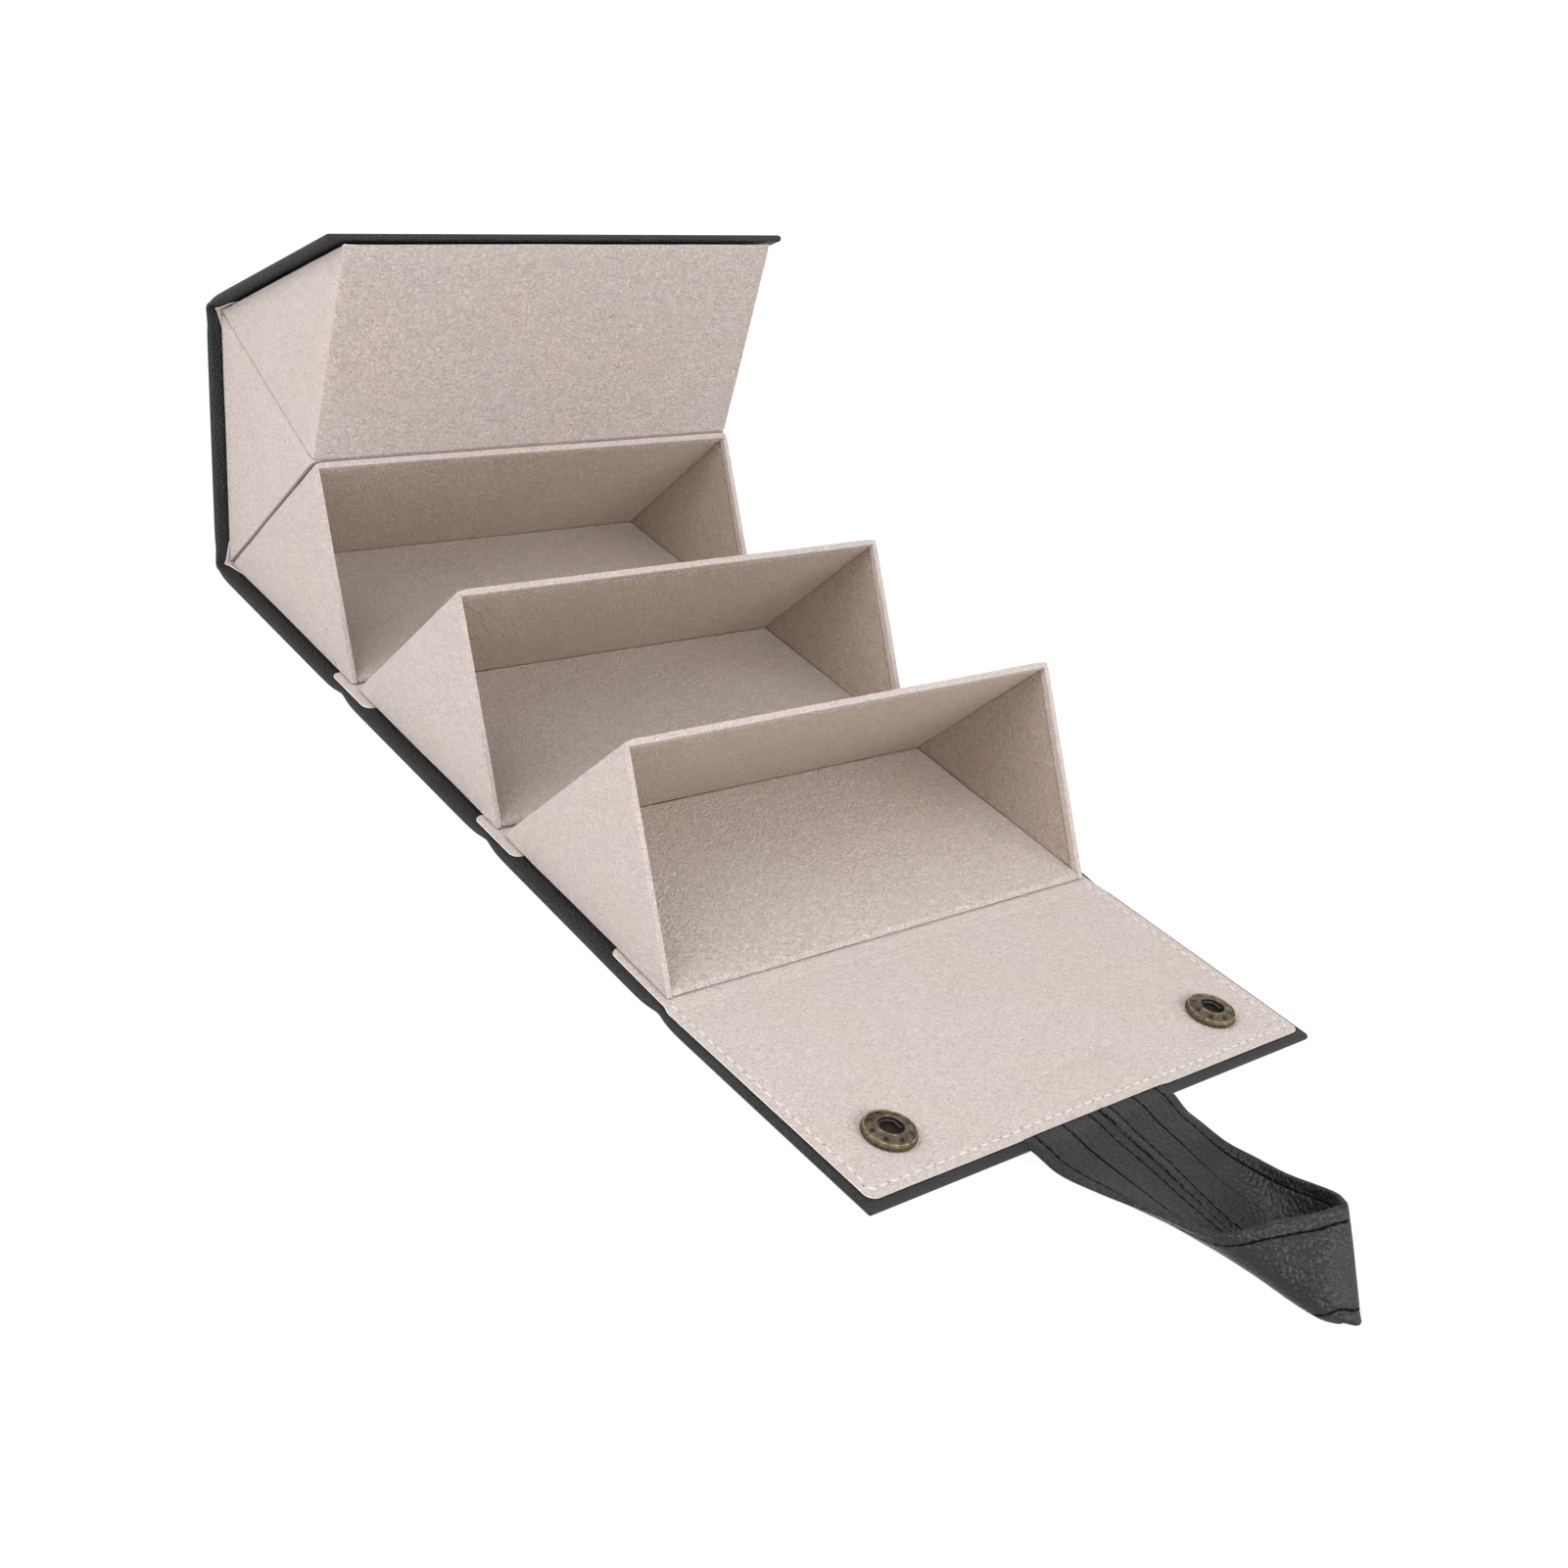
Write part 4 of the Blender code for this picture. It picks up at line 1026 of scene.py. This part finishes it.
STRAP_LEFT_SHARES = (
    ((0.00, 0.00, 0.00), (-0.56, 0.00, 0.00), (-1.10, 0.00, 0.00)),
    ((0.085, 0.11, 0.00), (-0.45, 0.12, 0.00), (-0.98, 0.11, 0.01)),
    ((0.15, 0.23, 0.00), (-0.38, 0.26, -0.03), (-0.83, 0.22, 0.10)),
    ((0.17, 0.34, 0.00), (-0.37, 0.40, -0.02), (-0.71, 0.32, 0.21)),
    ((0.18, 0.43, 0.00), (-0.32, 0.50, 0.00), (-0.63, 0.41, 0.32)),
    ((0.20, 0.55, 0.00), (-0.22, 0.64, 0.00), (-0.55, 0.52, 0.42)),
    ((0.22, 0.65, 0.00), (-0.23, 0.75, 0.00), (-0.42, 0.61, 0.53)),
    ((0.20, 0.77, 0.00), (-0.27, 0.88, 0.00), (-0.10, 0.67, 0.70)),
    ((0.18, 0.87, 0.00), (-0.17, 0.97, 0.00), (0.14, 0.71, 0.80)),
    ((0.20, 0.95, 0.00), (0.00, 1.02, 0.05), (0.35, 0.75, 0.91)),
    ((0.32, 1.02, 0.00), (0.31, 0.95, 0.33), (0.55, 0.77, 0.98)),
    ((0.40, 1.025, 0.00), (0.53, 0.90, 0.52), (0.635, 0.775, 1.00)),
)
STRAP_RIGHT_SHARES = (
    ((0.42, 0.98, 0.00), (0.56, 0.855, 0.49), (0.68, 0.735, 0.99)),
    ((0.41, 0.86, 0.00), (0.68, 0.79, 0.33), (0.74, 0.67, 0.87)),
    ((0.27, 0.69, 0.00), (0.70, 0.63, 0.10), (0.81, 0.53, 0.62)),
    ((0.17, 0.54, 0.00), (0.62, 0.46, 0.03), (0.90, 0.39, 0.40)),
    ((0.16, 0.39, 0.00), (0.59, 0.32, 0.00), (0.97, 0.26, 0.18)),
    ((0.14, 0.24, 0.00), (0.53, 0.19, 0.00), (1.01, 0.13, 0.05)),
    ((0.08, 0.11, 0.00), (0.51, 0.09, 0.00), (1.01, 0.07, 0.00)),
    ((0.00, 0.00, 0.00), (0.50, 0.00, 0.00), (1.00, 0.00, 0.00)),
)
STRAP_STEPS = 14
SECTION_STEPS = 32
STRAP_LINES_IN_MM = (
    0, 0.06, 0.22, 0.5, 0.9, 1.6, 2.5, 3.1, 3.4, 3.6, 3.8, 4.0, 4.2, 4.5, 5.4, 7.0, 8.8, 10.4, 11.8,
    12.6, 12.93, 13.0, 13.3)
STRAP_COLOUR = (0.0125, 0.0126, 0.013, 1)
STRAP_THREAD_AND_SHADE_COLOUR = (0.004, 0.004, 0.004, 1)

strap_leather = surface_material(
    "strap_leather", grain, {"Colour": STRAP_COLOUR, "Grain Scale": 1000.0, "Rub": 0.4, "Polish": 0.25},
    1.0, 0.4 * MM, {"Specular IOR Level": 0.35})
# A near-black thread finish: black stitching, and painted shade of the grooves it lies in.
black_thread_and_groove_shade = surface_material("black_thread_and_groove_shade", twine, {"Colour": STRAP_THREAD_AND_SHADE_COLOUR}, 0.4, 0.1 * MM,
                                {"Specular IOR Level": 0.06})
handle_frame = panel_frame("handle_flex", 0)
axis_height = joint_at["handle_flex"].z
lowest = STRAP_THICK / 2 + GROUND_EASE


def smooth_between(before, start, end, after, share):
    """A value on the smooth curve through four even ones, between the middle two."""
    return 0.5 * (
        2 * start
        + (end - before) * share
        + (2 * before - 5 * start + 4 * end - after) * share ** 2
        + (3 * start - before - 3 * end + after) * share ** 3
    )


def leg_root(leg):
    return STRAP_OFF_CENTRE + leg * STRAP_LEG_GAP / 2


def strap_tab(leg, root_shares):
    """The end of one leg, sewn in between the flap's cover and its lining."""
    level = -(COVER_THICK - STRAP_IN_FLAP) / 2 + STRAP_RAISED
    return [[flap_frame @ place(leg_root(leg) + point[0] * STRAP_WIDTH, FLAP_LENGTH - behind, level)
             for point in root_shares] for behind in STRAP_TAB_STOPS]


def strap_rows():
    """Each row is the strap's section as inner edge, elbow and outer edge, in the row frame."""
    keys = [[value for across, along, up in points
             for value in (leg_root(leg) + across * STRAP_WIDTH, along, up * STRAP_RISE)]
            for leg, shares in ((-1, STRAP_LEFT_SHARES), (1, STRAP_RIGHT_SHARES)) for points in shares]
    last = len(keys) - 1
    smooth = []
    for index in range(last):
        around = [keys[max(0, min(last, index + offset))] for offset in (-1, 0, 1, 2)]
        for step in range(STRAP_STEPS):
            smooth.append([smooth_between(*values, step / STRAP_STEPS) for values in zip(*around)])
    smooth.append(keys[last])
    rows = []
    for values in smooth:
        row = []
        for across, along, up in zip(values[0::3], values[1::3], values[2::3]):
            fallen = max(0, 1 - along / STRAP_FALL_SHARE) ** 2
            height = lowest + (axis_height - lowest) * fallen + up
            height += STRAP_RAISED * (1 - ease(along / STRAP_RAISED_SHARE))
            row.append(handle_frame @ place(across, along * STRAP_REACH + STRAP_START, height - axis_height))
        rows.append(row)
    return strap_tab(-1, STRAP_LEFT_SHARES[0]) + rows + strap_tab(1, STRAP_RIGHT_SHARES[-1])[::-1]


def across_strap(inner, elbow, outer):
    """One curved section's points, at even distances however it bends."""
    curve = [(1 - s) ** 2 * inner + 2 * s * (1 - s) * elbow + s ** 2 * outer
             for s in (index / SECTION_STEPS for index in range(SECTION_STEPS + 1))]
    passed = [0.0]
    for before, after in zip(curve, curve[1:]):
        passed.append(passed[-1] + (after - before).length)
    points = []
    index = 0
    for share in across:
        wanted = share * passed[-1]
        while index < SECTION_STEPS - 1 and passed[index + 1] < wanted:
            index += 1
        step = (wanted - passed[index]) / (passed[index + 1] - passed[index])
        points.append(curve[index].lerp(curve[index + 1], step))
    return points


def grid_normal(row, column):
    """Normal of the strap's middle surface, towards its outer face."""
    onward = grid[min(row + 1, len(grid) - 1)][column] - grid[max(row - 1, 0)][column]
    sideways = grid[row][min(column + 1, len(across) - 1)] - grid[row][max(column - 1, 0)]
    return onward.cross(sideways).normalized()


def strap_half_thickness(row, column, face):
    """Half the strap's thickness: rounded edges, a groove under the thread, a seam and wrinkles."""
    along_share = row / len(grid)
    from_inner = across[column] * STRAP_WIDTH
    from_outer = (1 - across[column]) * STRAP_WIDTH
    from_edge = min(across[column], 1 - across[column]) * STRAP_WIDTH
    thick = STRAP_THICK / 2
    if from_edge < STRAP_ROUND:
        thick *= math.sqrt(max(1 - (1 - from_edge / STRAP_ROUND) ** 2, 0))
    thick -= STRAP_GROOVE * math.exp(-((from_edge - STRAP_STITCH_IN) / STRAP_GROOVE_HALF) ** 2)
    if face == -1 and abs(from_inner - STRAP_WIDTH / 2) < STRAP_SEAM_HALF:
        closing = 1 - 0.8 * ease((along_share - 0.45) / 0.12) + 0.55 * ease((along_share - 0.8) / 0.15)
        thick -= STRAP_SEAM_DEPTH * closing
    thick += STRAP_UNEVEN * noise.noise(grid[row][column] / STRAP_UNEVEN_LENGTH + Vector((face, 0, 0)))
    from_turn = (along_share - STRAP_TURN_SHARE) / STRAP_TURN_SPAN_SHARE
    at_turn = math.exp(-from_turn ** 2 - (from_outer / STRAP_WRINKLED_FROM_EDGE) ** 2)
    wrinkle = Vector((run_along[row] / STRAP_WRINKLE_LENGTH, from_outer / STRAP_WRINKLE_WIDTH, 0))
    return max(thick + STRAP_WRINKLE * at_turn * noise.noise(wrinkle), 0)


across = [value * MM / STRAP_WIDTH for value in STRAP_LINES_IN_MM]
across += [1 - share for share in reversed(across[:-1])]
grid = [across_strap(*section) for section in strap_rows()]
normals = [[grid_normal(row, column) for column in range(len(across))] for row in range(len(grid))]
run_along = [0.0]
for before, after in zip(grid, grid[1:]):
    run_along.append(run_along[-1] + (after[-1] - before[-1]).length)
shape = bmesh.new()
skins = {1: [], -1: []}
for row, line in enumerate(grid):
    for face, skin in skins.items():
        skin.append([])
        for column, point in enumerate(line):
            moved = point + normals[row][column] * face * strap_half_thickness(row, column, face)
            if row > len(grid) / 2:
                moved.z += STRAP_CURL * math.exp(-(across[column] * STRAP_WIDTH / STRAP_CURL_REACH) ** 2)
            moved.z = max(moved.z, GROUND_EASE)
            skin[-1].append(shape.verts.new(moved))
for row in range(len(grid) - 1):
    for column in range(len(across) - 1):
        for skin in skins.values():
            shape.faces.new((skin[row][column], skin[row][column + 1],
                             skin[row + 1][column + 1], skin[row + 1][column]))
bmesh.ops.remove_doubles(shape, verts=shape.verts, dist=2 * WELD)
bmesh.ops.holes_fill(shape, edges=[edge for edge in shape.edges if edge.is_boundary], sides=0)
face_outwards(shape)
strap = finish_piece("strap_handle", shape, Matrix.Identity(4), (strap_leather,), 60)
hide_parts("handle_loop", "handle_root_left", "handle_root_right")

# Each stitch line is one unbroken near-black thread laid in its groove: black stitching, and painted shade of
# the groove.
shape = bmesh.new()
for edge_share in (STRAP_STITCH_IN / STRAP_WIDTH, 1 - STRAP_STITCH_IN / STRAP_WIDTH):
    column = min(range(len(across)), key=lambda index: abs(across[index] - edge_share))
    for face in (1, -1):
        level = face * (STRAP_THICK / 2 - 0.75 * STRAP_THREAD)
        line = [grid[row][column] + normals[row][column] * level for row in range(len(grid))]
        rings = []
        for index, (middle, direction) in enumerate(walk(line, STRAP_STITCH_PITCH / 6)):
            nearest = min(range(len(line)), key=lambda index: (line[index] - middle).length)
            outward = normals[nearest][column] * face
            sideways = direction.cross(outward).normalized()
            dive = 0.5 + 0.5 * math.cos(math.tau * index / 6)
            rings.append(ring_round(shape, middle - outward * STRAP_STITCH_DIVE * dive, sideways, outward,
                                    STRAP_THREAD * (1 - 0.35 * dive)))
        bridge(shape, rings)
        shape.faces.new(rings[0])
        shape.faces.new(rings[-1])
face_outwards(shape)
stitches = finish_piece("strap_stitching", shape, Matrix.Identity(4), (black_thread_and_groove_shade,), 60)
for piece in (strap, stitches):
    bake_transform(piece)

# The snap fasteners.
# Two antique brass snaps close the box. A ring with a milled rim and small stamped stars sits on
# the flap's lining over a spring wire, held by a domed cap outside; its stud stands on tray a's cover.
SOCKET_SEAT = 0.60 * MM
STUD_FROM_CREASE = 18.22 * MM
SNAP_FACE = -COVER_THICK - 0.1 * MM
SLOPE_FROM = 4.86 * MM
SLOPE_TOP = 2.62 * MM
SLOPE_FALL = 0.31
STAR_COUNT = 8
STAR_RING = 5.5 * MM
STAR_RADIUS = 1.0 * MM
STAR_WAIST_SHARE = 0.56
STAR_PROUD = 0.03 * MM
STAR_SUNK = 0.08 * MM
MILLED_POINTS = (17, 18, 19, 20)
MILLING_DEPTH = 0.14 * MM
MILLING_COUNT = 60
BEAD_RING = 6.84 * MM
BEAD_THICK = 0.30 * MM
BEAD_HEIGHT = 1.96 * MM
BEAD_COUNT = 60
BRASS_COLOUR = (0.185, 0.150, 0.106, 1)
BRIGHT_COLOUR = (0.42, 0.33, 0.19, 1)
PATINA_COLOUR = (0.032, 0.024, 0.015, 1)
PATINA_AND_SHADE_COLOUR = (0.016, 0.013, 0.012, 1)
SHADED_STEEL_COLOUR = (0.17, 0.16, 0.15, 1)

aged_metal, given, spot = new_effect(
    "aged_metal", {"Colour": BRASS_COLOUR, "Patina": PATINA_COLOUR, "Age": 0.5})
blotch = add_noise(aged_metal, spot, 700.0, 4.0, 0.65)["Fac"]
scratch = add_noise(aged_metal, spot, 3000.0)["Fac"]
age = reckon(aged_metal, "MULTIPLY", remap(aged_metal, blotch, (0.35, 0.7)), given["Age"])
toned = mix_colours(aged_metal, age, given["Colour"], given["Patina"])
put_out(aged_metal, toned, remap(aged_metal, blotch, to=(0.30, 0.55)), scratch)


def metal_finish(name, colour, age, strength, depth, sockets):
    return surface_material(name, aged_metal, {"Colour": colour, "Age": age}, strength, depth, sockets)


brass = metal_finish("antique_brass", BRASS_COLOUR, 0.7, 0.25, 0.05 * MM, {"Metallic": 1.0})
bright_brass = metal_finish("rubbed_brass", BRIGHT_COLOUR, 0.8, 0.2, 0.05 * MM, {"Metallic": 1.0})
# One dark finish: real patina in the stamped stars, and painted shade in the bores.
patina_and_bore_shade = metal_finish("dark_patina_and_bore_shade", PATINA_AND_SHADE_COLOUR, 0.6, 0.25, 0.05 * MM, {"Specular IOR Level": 0.2})
# The spring steel is darkened: painted shade inside the snap rings' bores.
shaded_steel = metal_finish("spring_steel", SHADED_STEEL_COLOUR, 0.6, 0.2, 0.03 * MM, {"Metallic": 1.0})


def turned(profile, segments=96, closed=False, milled=()):
    """A turned form from radius and height points. Milled points swing in and out round the rim."""
    shape = bmesh.new()
    rings = []
    for index, (radius, height) in enumerate(profile):
        depth = MILLING_DEPTH if index in milled else 0
        ring = []
        for turn in range(segments if radius else 1):
            angle = math.tau * turn / segments
            reach = radius - depth * (0.5 - 0.5 * math.cos(MILLING_COUNT * angle))
            ring.append(shape.verts.new(place(reach * math.cos(angle), reach * math.sin(angle), height)))
        rings.append(ring)
    bridge(shape, rings, closed)
    face_outwards(shape)
    return shape


def on_slope(x, along, above):
    """A place above the socket ring's sloping face."""
    return place(x, along, SLOPE_TOP - SLOPE_FALL * (math.hypot(x, along) - SLOPE_FROM) + above)


def stamped_stars():
    """Small stamped stars, filled with dark patina, that lie on the ring's slope."""
    shape = bmesh.new()
    for star in range(STAR_COUNT):
        lean = math.tau * (star + 0.2) / STAR_COUNT
        x, along = STAR_RING * math.cos(lean), STAR_RING * math.sin(lean)
        low, high = [], []
        for index in range(10):
            angle = lean + math.tau * index / 10
            reach = STAR_RADIUS if index % 2 == 0 else STAR_RADIUS * STAR_WAIST_SHARE
            tip = (x + reach * math.cos(angle), along + reach * math.sin(angle))
            low.append(shape.verts.new(on_slope(*tip, -STAR_SUNK)))
            high.append(shape.verts.new(on_slope(*tip, STAR_PROUD)))
        shape.faces.new(low)
        bridge(shape, [low, high, [shape.verts.new(on_slope(x, along, STAR_PROUD))]])
    face_outwards(shape)
    return shape


def rope_bead():
    """A ring of small round beads that run into each other, like a rope."""
    shape = bmesh.new()
    rings = []
    for turn in range(BEAD_COUNT * 6):
        angle = math.tau * turn / (BEAD_COUNT * 6)
        bulge = BEAD_THICK * (0.62 + 0.38 * abs(math.cos(BEAD_COUNT / 2 * angle)))
        outward = place(math.cos(angle), math.sin(angle), 0)
        rings.append(ring_round(shape, outward * BEAD_RING + UP * BEAD_HEIGHT, outward, UP, bulge))
    bridge(shape, rings, True)
    face_outwards(shape)
    return shape


def profile_from(base, *points):
    """A profile's radius and height in millimetres, with its heights counted from a base."""
    return [(radius * MM, base + height * MM) for radius, height in points]


socket_profile = profile_from(
    0, (3.4, 0.2), (3.4, 2.65), (3.48, 2.95), (3.66, 3.09), (3.88, 3.1), (4.04, 3.0), (4.14, 2.80),
    (4.35, 2.72), (4.62, 2.66), (4.70, 2.56), (4.78, 2.56), (4.86, 2.62), (5.6, 2.39), (6.3, 2.17),
    (6.42, 2.06), (6.6, 1.96), (7.05, 1.86), (7.22, 1.72), (7.40, 1.35), (7.5, 0.9), (7.42, 0.45),
    (7.2, 0.15), (6.6, 0.0), (5.0, 0.0))
cup_profile = profile_from(
    0, (0, 0.75), (2.9, 0.75), (3.2, 0.95), (3.3, 2.55), (3.38, 2.6), (3.38, 0.6), (0, 0.6))
cap_profile = profile_from(0, (0, 1.15), (2.2, 1.15), (2.7, 1.0), (2.8, 0.8), (1.9, 0.7)) + profile_from(
    SNAP_FACE, (1.9, 0), (7.0, 0), (7.4, -0.15), (7.5, -0.4), (7.3, -0.65), (6.6, -0.85), (6.2, -0.80),
    (5.9, -0.98), (4.0, -1.25), (2.0, -1.38), (0, -1.42))
stud_profile = profile_from(0, (0, 0.45), (1.5, 0.45)) + profile_from(
    SNAP_FACE, (1.6, 0), (6.0, 0), (6.2, -0.15), (6.2, -0.4), (6.0, -0.6), (5.2, -0.62), (4.6, -0.82),
    (2.6, -0.8), (1.95, -1.0), (1.8, -1.7), (2.05, -2.1), (2.2, -2.5), (2.1, -3.0), (1.75, -3.3), (0, -3.4))
for side, x in (("left", -SNAP_SPREAD), ("right", SNAP_SPREAD)):
    seat = flap_frame @ Matrix.Translation(place(x, SNAP_ALONG, SOCKET_SEAT))
    on_flap = flap_frame @ Matrix.Translation(place(x, SNAP_ALONG, 0))
    on_cover = panels["panel_a"] @ Matrix.Translation(place(x, -STUD_FROM_CREASE, 0))
    for name, shape, matrix, material, sharp, body, node in (
        ("ring", turned(socket_profile, 360, True, MILLED_POINTS), seat, brass, 40, "flap", "socket"),
        ("stars", stamped_stars(), seat, patina_and_bore_shade, 35, "flap", None),
        # The bore is lined with a cup of the dark finish: painted shade down the deep bore.
        ("bore", turned(cup_profile), seat, patina_and_bore_shade, 40, "flap", None),
        ("bead", rope_bead(), seat, bright_brass, 80, "flap", None),
        ("outer_cap", turned(cap_profile), on_flap, brass, 40, "flap", "cap"),
        ("post", turned(stud_profile), on_cover, brass, 40, "panel_a", "stud"),
    ):
        piece = finish_piece(f"snap_{name}_{side}", shape, matrix, (material,), sharp)
        if node:
            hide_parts(f"snap_{node}_{side}")
        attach(piece, body)

# What stays as it was built.
# The spring wires in the snap rings, and the rivet rings that hold the studs from under the first
# tray, only take their finish here.
for node_name, node in frame["nodes"].items():
    # The spring wires take the darkened steel, painted shade in the bores.
    for prefix, material in (("snap_spring", shaded_steel), ("stud_rivet", brass)):
        if node_name.startswith(prefix):
            node.data.materials.clear()
            node.data.materials.append(material)
